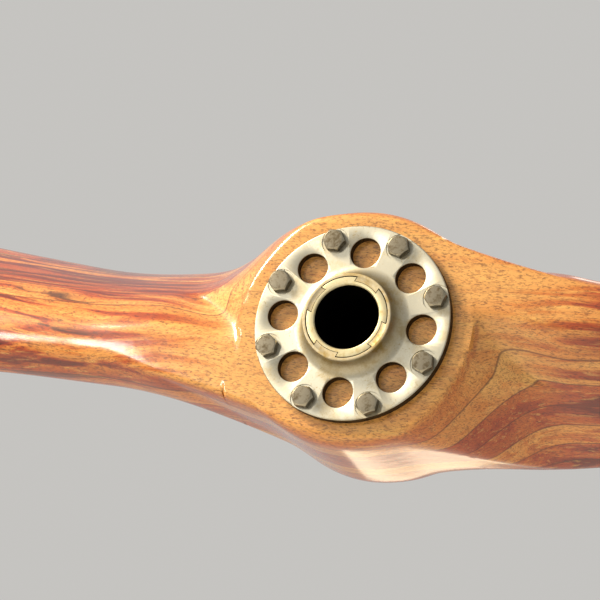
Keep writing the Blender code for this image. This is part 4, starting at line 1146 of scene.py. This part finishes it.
def make_shaft():
    """The shaft: threaded front end, journal, shoulder and plain held end with a centre hole."""
    front = front_of("shaft")
    back = back_of("shaft")
    shoulder_front = REAR_FLANGE_BACK
    shoulder_back = shoulder_front - 12.0 * MM
    thread_pitch = 1.5 * MM
    journal = BEARING_BORE
    profile = [(0.0, front), (journal - 1.4 * MM, front), (journal - 0.2 * MM, front - 1.2 * MM)]
    z = front - 1.2 * MM
    while z > front - 10.0 * MM:
        profile += [(journal, z - thread_pitch / 2), (journal - 0.7 * MM, z - thread_pitch)]
        z -= thread_pitch
    profile += [(journal, z - 0.6 * MM)]
    profile += rounded([
        (journal, z - 1.0 * MM, 0.0),
        (journal, shoulder_front, 0.0),
        (SHAFT_SHOULDER, shoulder_front, 0.8 * MM),
        (SHAFT_SHOULDER, shoulder_back, 0.8 * MM),
        (HELD_END_RADIUS, shoulder_back, 0.9 * MM),
        (HELD_END_RADIUS, back, 1.4 * MM),
        (3.5 * MM, back, 0.3 * MM),
        (1.5 * MM, back + 3.5 * MM, 0.0),
        (0.0, back + 4.0 * MM, 0.0),
    ], closed=False)

    def pick(middle, direction):
        return 1 if middle.z > front - 12.0 * MM else 0

    turned_piece("shaft_piece", profile, 96, "shaft", ["shaft"],
                 [metal("turned_shaft_steel"), metal("greased_bore")], closed=False, pick=pick)


def make_locknut():
    """The round nut with four spanner slots that clamps the inner rings."""
    front = front_of("shaft_locknut")
    back = back_of("shaft_locknut")
    outer = LOCKNUT_RADIUS
    inner = BEARING_BORE + BORE_GAP
    bm = bmesh.new()
    lathe(bm, rounded([
        (inner, front, 0.5 * MM),
        (outer, front, 0.8 * MM),
        (outer, back, 0.8 * MM),
        (inner, back, 0.4 * MM),
    ]), 96)
    nut = object_from(bm, "slotted_locknut")
    cut = bmesh.new()
    for k in range(4):
        half = LOCKNUT_SLOT
        floor = outer - LOCKNUT_SLOT
        past = outer + 3 * MM
        outline = [(floor, -half), (past, -half), (past, half), (floor, half)]
        prism(cut, outline, back - 2 * MM, front + 2 * MM, turn(k * math.pi / 2))
    combine(nut, cut, "DIFFERENCE")
    finish_piece(
        nut, "slotted_locknut", "shaft", ["shaft_locknut"], [metal("greased_bore")])


# ---------------------------------------------------------------- stage
def add_area_light(name, target, azimuth, elevation, distance, size, power, colour):
    """A soft oblong light that looks at target from this azimuth and elevation, in degrees."""
    a = math.radians(azimuth)
    e = math.radians(elevation)
    direction = Vector((math.sin(a) * math.cos(e), -math.cos(a) * math.cos(e), math.sin(e)))
    light = bpy.data.lights.new(name, "AREA")
    light.shape = "RECTANGLE"
    light.size = size[0]
    light.size_y = size[1]
    light.energy = power
    light.color = colour
    obj = bpy.data.objects.new(name, light)
    obj.location = target + direction * distance
    obj.rotation_euler = (-direction).to_track_quat("-Z", "Y").to_euler()
    obj.visible_camera = False
    bpy.context.scene.collection.objects.link(obj)


def make_floor(stage):
    """Matt painted board, pale and nearly even, that lies below the turning blades."""
    bm = bmesh.new()
    bmesh.ops.create_grid(bm, x_segments=8, y_segments=8, size=9.0)
    bmesh.ops.translate(bm, verts=bm.verts, vec=(0, 0, -stage.floor_depth))
    floor = object_from(bm, "floor")
    material, tree, shader, coords = new_material("matt_painted_floor", {"Roughness": 0.7})
    grain = add_node(tree, "ShaderNodeTexNoise", {}, {"Vector": coords, "Scale": per(400.0), "Detail": 3.0})
    pale = stage.floor_colour
    colour = add_node(
        tree,
        "ShaderNodeMix",
        {"data_type": "RGBA"},
        {0: grain.outputs["Fac"], 6: (*pale, 1.0), 7: (*[c * 0.94 for c in pale], 1.0)},
    )
    tree.links.new(colour.outputs[2], shader.inputs["Base Color"])
    floor.data.materials.append(material)


def make_world(stage):
    """An even pale surround."""
    world = bpy.data.worlds.new("pale_studio")
    world.use_nodes = True
    background = world.node_tree.nodes["Background"]
    background.inputs["Color"].default_value = (*stage.background_colour, 1.0)
    background.inputs["Strength"].default_value = stage.background_strength
    bpy.context.scene.world = world


def make_camera(stage):
    """A long-lens camera below and to the right of the hub, leaning a little."""
    camera = bpy.data.cameras.new("camera")
    camera.lens = stage.lens
    camera.clip_end = 50.0
    obj = bpy.data.objects.new("camera", camera)
    a = stage.camera_azimuth
    e = stage.camera_elevation
    back = Vector((math.sin(a) * math.cos(e), -math.cos(a) * math.cos(e), math.sin(e)))
    level = Vector((math.cos(a), math.sin(a), 0.0))
    up = back.cross(level)
    right = level * math.cos(stage.camera_roll) + up * math.sin(stage.camera_roll)
    up = back.cross(right)
    turned_axes = Matrix((right, up, back)).transposed().to_4x4()
    place = Vector(stage.camera_target) + back * stage.camera_distance
    obj.matrix_world = Matrix.Translation(place) @ turned_axes
    bpy.context.scene.collection.objects.link(obj)
    bpy.context.scene.camera = obj


def make_stage():
    """Floor, surround, camera and four soft lights about the hub."""
    stage = bpy.context.scene.propeller_stage
    make_floor(stage)
    make_world(stage)
    make_camera(stage)
    hub = Vector((0.0, HUB_Y - HALF_STACK, 0.0))
    add_area_light("key_softbox", hub, -62.0, 32.0, 2.4, (0.9, 0.6), stage.key_power, srgb("#fff1d8"))
    add_area_light("front_strip", hub, -33.0, 8.0, 2.6, (0.22, 0.45), stage.strip_power, srgb("#fffaf0"))
    add_area_light("under_card", hub, -168.0, -20.0, 1.8, (0.35, 0.25), stage.card_power, srgb("#ffedc8"))
    add_area_light("rear_fill", hub, 170.0, 40.0, 3.2, (1.8, 1.8), stage.rear_power, srgb("#fff6e6"))
    bpy.context.scene.view_settings.view_transform = "Standard"


# ---------------------------------------------------------------- settings
def colour_setting(name, description, code):
    """A colour property with an sRGB hex default."""
    return FloatVectorProperty(
        name=name, description=description, subtype="COLOR", size=3, min=0.0, max=1.0, default=srgb(code))


def length_setting(name, description, size):
    """A length property, in metres."""
    return FloatProperty(name=name, description=description, unit="LENGTH", min=0.0, default=size)


class PropellerWood(bpy.types.PropertyGroup):
    """Sizes and colours of the carved wood."""

    boss_radius: length_setting("Boss radius", "Radius of the round middle of the blank", 0.1215)
    root_chord: length_setting("Root chord", "Blade width where the root ends", 0.190)
    max_chord: length_setting("Widest chord", "Blade width at its widest place", 0.225)
    widest_at: length_setting("Widest place", "Distance of the widest place from the hub", 0.700)
    tip_chord: length_setting("Tip chord", "Blade width where the tip begins to round", 0.150)
    tip_round: length_setting("Tip rounding", "Length of the rounded tip", 0.150)
    root_thickness: length_setting("Root thickness", "Blade thickness where the root ends", 0.080)
    tip_thickness: length_setting("Tip thickness", "Blade thickness at the tip", 0.012)
    pitch: length_setting("Pitch", "Advance in one turn that sets the blade angle", 2.350)
    root_angle: FloatProperty(
        name="Root angle", description="Largest blade angle", unit="ROTATION", default=math.radians(48.0))
    outline_points: IntProperty(
        name="Outline points", description="Points round each section", min=60, default=176)
    varnish_roughness: FloatProperty(
        name="Varnish roughness", description="Softness of the varnish's gloss", subtype="FACTOR",
        min=0.0, max=1.0, default=0.16)
    ring_spacing: FloatProperty(
        name="Ring spacing", description="Distance between growth rings, millimetres", min=1.0, default=9.0)
    grain_wander: length_setting("Grain wander", "How far the grain strays from straight", 0.050)
    pore_strength: FloatProperty(
        name="Pore strength", description="Darkness of the pores", subtype="FACTOR", min=0.0, max=1.0,
        default=0.55)
    golden: colour_setting("Golden", "Palest wood, on the boss", "#dda356")
    amber: colour_setting("Amber", "Common colour of the wood", "#c97a30")
    orange: colour_setting("Orange", "Wood of the ribbons", "#a74514")
    red: colour_setting("Red", "Wood of the darkest ribbons", "#6e1f0a")
    dark_streak: colour_setting("Dark streak", "Pores, late wood and glue", "#34100a")
    pale_streak: colour_setting("Pale streak", "Light lines in the ribbons", "#e6b660")


class PropellerHub(bpy.types.PropertyGroup):
    """Colours of the hub's metals."""

    plate: colour_setting("Plate", "Clean nickel of the front plate", "#bfbaa8")
    sleeve: colour_setting("Sleeve", "Clean nickel of the sleeve", "#c4b995")
    # oil stain, and also the colour of the painted shade round the nose's fillet
    oil_stain_and_shade: colour_setting("Oil stain", "Yellow-brown film on the plating", "#9a8350")
    # grime, and also the base colour of the painted shade on the plate's edge and hole walls
    grime_and_shade: colour_setting("Grime", "Dirt on unpolished steel", "#4a3f2c")
    # grease, which also darkens the painted shade on the plate's edge and hole walls
    grease: colour_setting("Grease", "Old grease in the bore", "#0d0b09")
    grease_film: colour_setting("Grease film", "Thin brown grease in the bore", "#1a130b")
    bolt: colour_setting("Bolt", "Skin of the bolts", "#7a7364")
    # rubbed steel, and also the painted highlight on the bolt heads' chamfers
    bright_bolt: colour_setting("Rubbed bolt", "Bolt steel rubbed bright", "#a59c86")
    bearing: colour_setting("Bearing", "Ground steel of rings and balls", "#c4c4c2")
    brass: colour_setting("Brass", "Ball cages", "#c29a52")
    shaft: colour_setting("Shaft", "Turned steel of the shaft", "#a29c90")


class PropellerStage(bpy.types.PropertyGroup):
    """Floor, surround, lights and camera."""

    floor_depth: length_setting("Floor depth", "Floor below the hub axis", 1.34)
    floor_colour: colour_setting("Floor", "Colour of the floor", "#ecebe8")
    background_colour: colour_setting("Background", "Colour of the studio", "#f4f2ee")
    background_strength: FloatProperty(
        name="Background strength", description="Brightness of the studio", min=0.0, default=0.62)
    key_power: FloatProperty(
        name="Key light", description="Upper left softbox", unit="POWER", default=118.0)
    strip_power: FloatProperty(
        name="Front strip", description="Narrow light that draws the varnish highlight",
        unit="POWER", default=12.0)
    card_power: FloatProperty(
        name="Under card", description="Glow from below and behind", unit="POWER", default=0.9)
    rear_power: FloatProperty(name="Rear fill", description="Light from behind", unit="POWER", default=30.0)
    lens: FloatProperty(
        name="Lens", description="Focal length", unit="CAMERA", default=230.27)
    camera_distance: length_setting("Camera distance", "Camera to its target", 3.776)
    camera_azimuth: FloatProperty(
        name="Camera azimuth", description="Turn to the right of the hub axis", unit="ROTATION",
        default=math.radians(20.66))
    camera_elevation: FloatProperty(
        name="Camera elevation", description="Height above the horizon", unit="ROTATION",
        default=math.radians(-15.28))
    camera_roll: FloatProperty(
        name="Camera roll", description="Lean of the camera", unit="ROTATION", default=math.radians(11.54))
    camera_target: FloatVectorProperty(
        name="Camera target", description="Point in the middle of the view", subtype="XYZ", unit="LENGTH",
        size=3, default=(-0.0575, -0.2351, 0.0173))


# ---------------------------------------------------------------- operators
class PROPELLER_OT_carved_wood(bpy.types.Operator):
    """Carve the laminated wooden blank and bore it for the hub"""

    bl_idname = "propeller.carved_wood"
    bl_label = "Carved Wood"

    def execute(self, context):
        make_carved_wood()
        return {"FINISHED"}


class PROPELLER_OT_front_plate(bpy.types.Operator):
    """Make the drilled front plate with its filleted nose and lugs"""

    bl_idname = "propeller.front_plate"
    bl_label = "Front Plate"

    def execute(self, context):
        make_front_plate()
        return {"FINISHED"}


class PROPELLER_OT_hub_sleeve(bpy.types.Operator):
    """Make the sleeve with its rear flange and front dogs"""

    bl_idname = "propeller.hub_sleeve"
    bl_label = "Hub Sleeve"

    def execute(self, context):
        make_hub_sleeve()
        return {"FINISHED"}


class PROPELLER_OT_bolts(bpy.types.Operator):
    """Make the eight through bolts"""

    bl_idname = "propeller.bolts"
    bl_label = "Bolts"

    def execute(self, context):
        make_bolts()
        return {"FINISHED"}


class PROPELLER_OT_washers(bpy.types.Operator):
    """Make the washers under the nuts"""

    bl_idname = "propeller.washers"
    bl_label = "Washers"

    def execute(self, context):
        make_washers()
        return {"FINISHED"}


class PROPELLER_OT_castle_nuts(bpy.types.Operator):
    """Make the slotted castle nuts"""

    bl_idname = "propeller.castle_nuts"
    bl_label = "Castle Nuts"

    def execute(self, context):
        make_castle_nuts()
        return {"FINISHED"}


class PROPELLER_OT_split_pins(bpy.types.Operator):
    """Bend the split pins that lock the nuts"""

    bl_idname = "propeller.split_pins"
    bl_label = "Split Pins"

    def execute(self, context):
        make_split_pins()
        return {"FINISHED"}


class PROPELLER_OT_retainer(bpy.types.Operator):
    """Make the bearing retainer and its screws"""

    bl_idname = "propeller.retainer"
    bl_label = "Bearing Retainer"

    def execute(self, context):
        make_retainer()
        return {"FINISHED"}


class PROPELLER_OT_bearings(bpy.types.Operator):
    """Make the rings, cages and balls of both bearings"""

    bl_idname = "propeller.bearings"
    bl_label = "Ball Bearings"

    def execute(self, context):
        make_bearings()
        return {"FINISHED"}


class PROPELLER_OT_spacers(bpy.types.Operator):
    """Make the spacers between the bearings"""

    bl_idname = "propeller.spacers"
    bl_label = "Spacers"

    def execute(self, context):
        make_spacers()
        return {"FINISHED"}


class PROPELLER_OT_shaft(bpy.types.Operator):
    """Turn the shaft that carries the bearings"""

    bl_idname = "propeller.shaft"
    bl_label = "Shaft"

    def execute(self, context):
        make_shaft()
        return {"FINISHED"}


class PROPELLER_OT_locknut(bpy.types.Operator):
    """Make the slotted nut that clamps the inner rings"""

    bl_idname = "propeller.locknut"
    bl_label = "Lock Nut"

    def execute(self, context):
        make_locknut()
        return {"FINISHED"}


class PROPELLER_OT_stage(bpy.types.Operator):
    """Set up the floor, the soft lights and the camera"""

    bl_idname = "propeller.stage"
    bl_label = "Stage"

    def execute(self, context):
        make_stage()
        return {"FINISHED"}


OPERATORS = (
    PROPELLER_OT_carved_wood,
    PROPELLER_OT_front_plate,
    PROPELLER_OT_hub_sleeve,
    PROPELLER_OT_bolts,
    PROPELLER_OT_washers,
    PROPELLER_OT_castle_nuts,
    PROPELLER_OT_split_pins,
    PROPELLER_OT_retainer,
    PROPELLER_OT_bearings,
    PROPELLER_OT_spacers,
    PROPELLER_OT_shaft,
    PROPELLER_OT_locknut,
    PROPELLER_OT_stage,
)


class VIEW3D_PT_propeller(bpy.types.Panel):
    """Lists the propeller's pieces in the order they are built"""

    bl_label = "Wooden Propeller"
    bl_space_type = "VIEW_3D"
    bl_region_type = "UI"
    bl_category = "Propeller"

    def draw(self, context):
        for operator in OPERATORS:
            self.layout.operator(operator.bl_idname)


SETTINGS = {
    "propeller_wood": PropellerWood,
    "propeller_hub": PropellerHub,
    "propeller_stage": PropellerStage,
}


def register():
    for group in (*SETTINGS.values(), *OPERATORS, VIEW3D_PT_propeller):
        bpy.utils.register_class(group)
    for name, group in SETTINGS.items():
        setattr(bpy.types.Scene, name, PointerProperty(type=group))


def unregister():
    for name in SETTINGS:
        delattr(bpy.types.Scene, name)
    for group in reversed((*SETTINGS.values(), *OPERATORS, VIEW3D_PT_propeller)):
        bpy.utils.unregister_class(group)


def main():
    register()
    for operator in OPERATORS:
        group, name = operator.bl_idname.split(".")
        getattr(getattr(bpy.ops, group), name)()


if __name__ == "__main__":
    main()
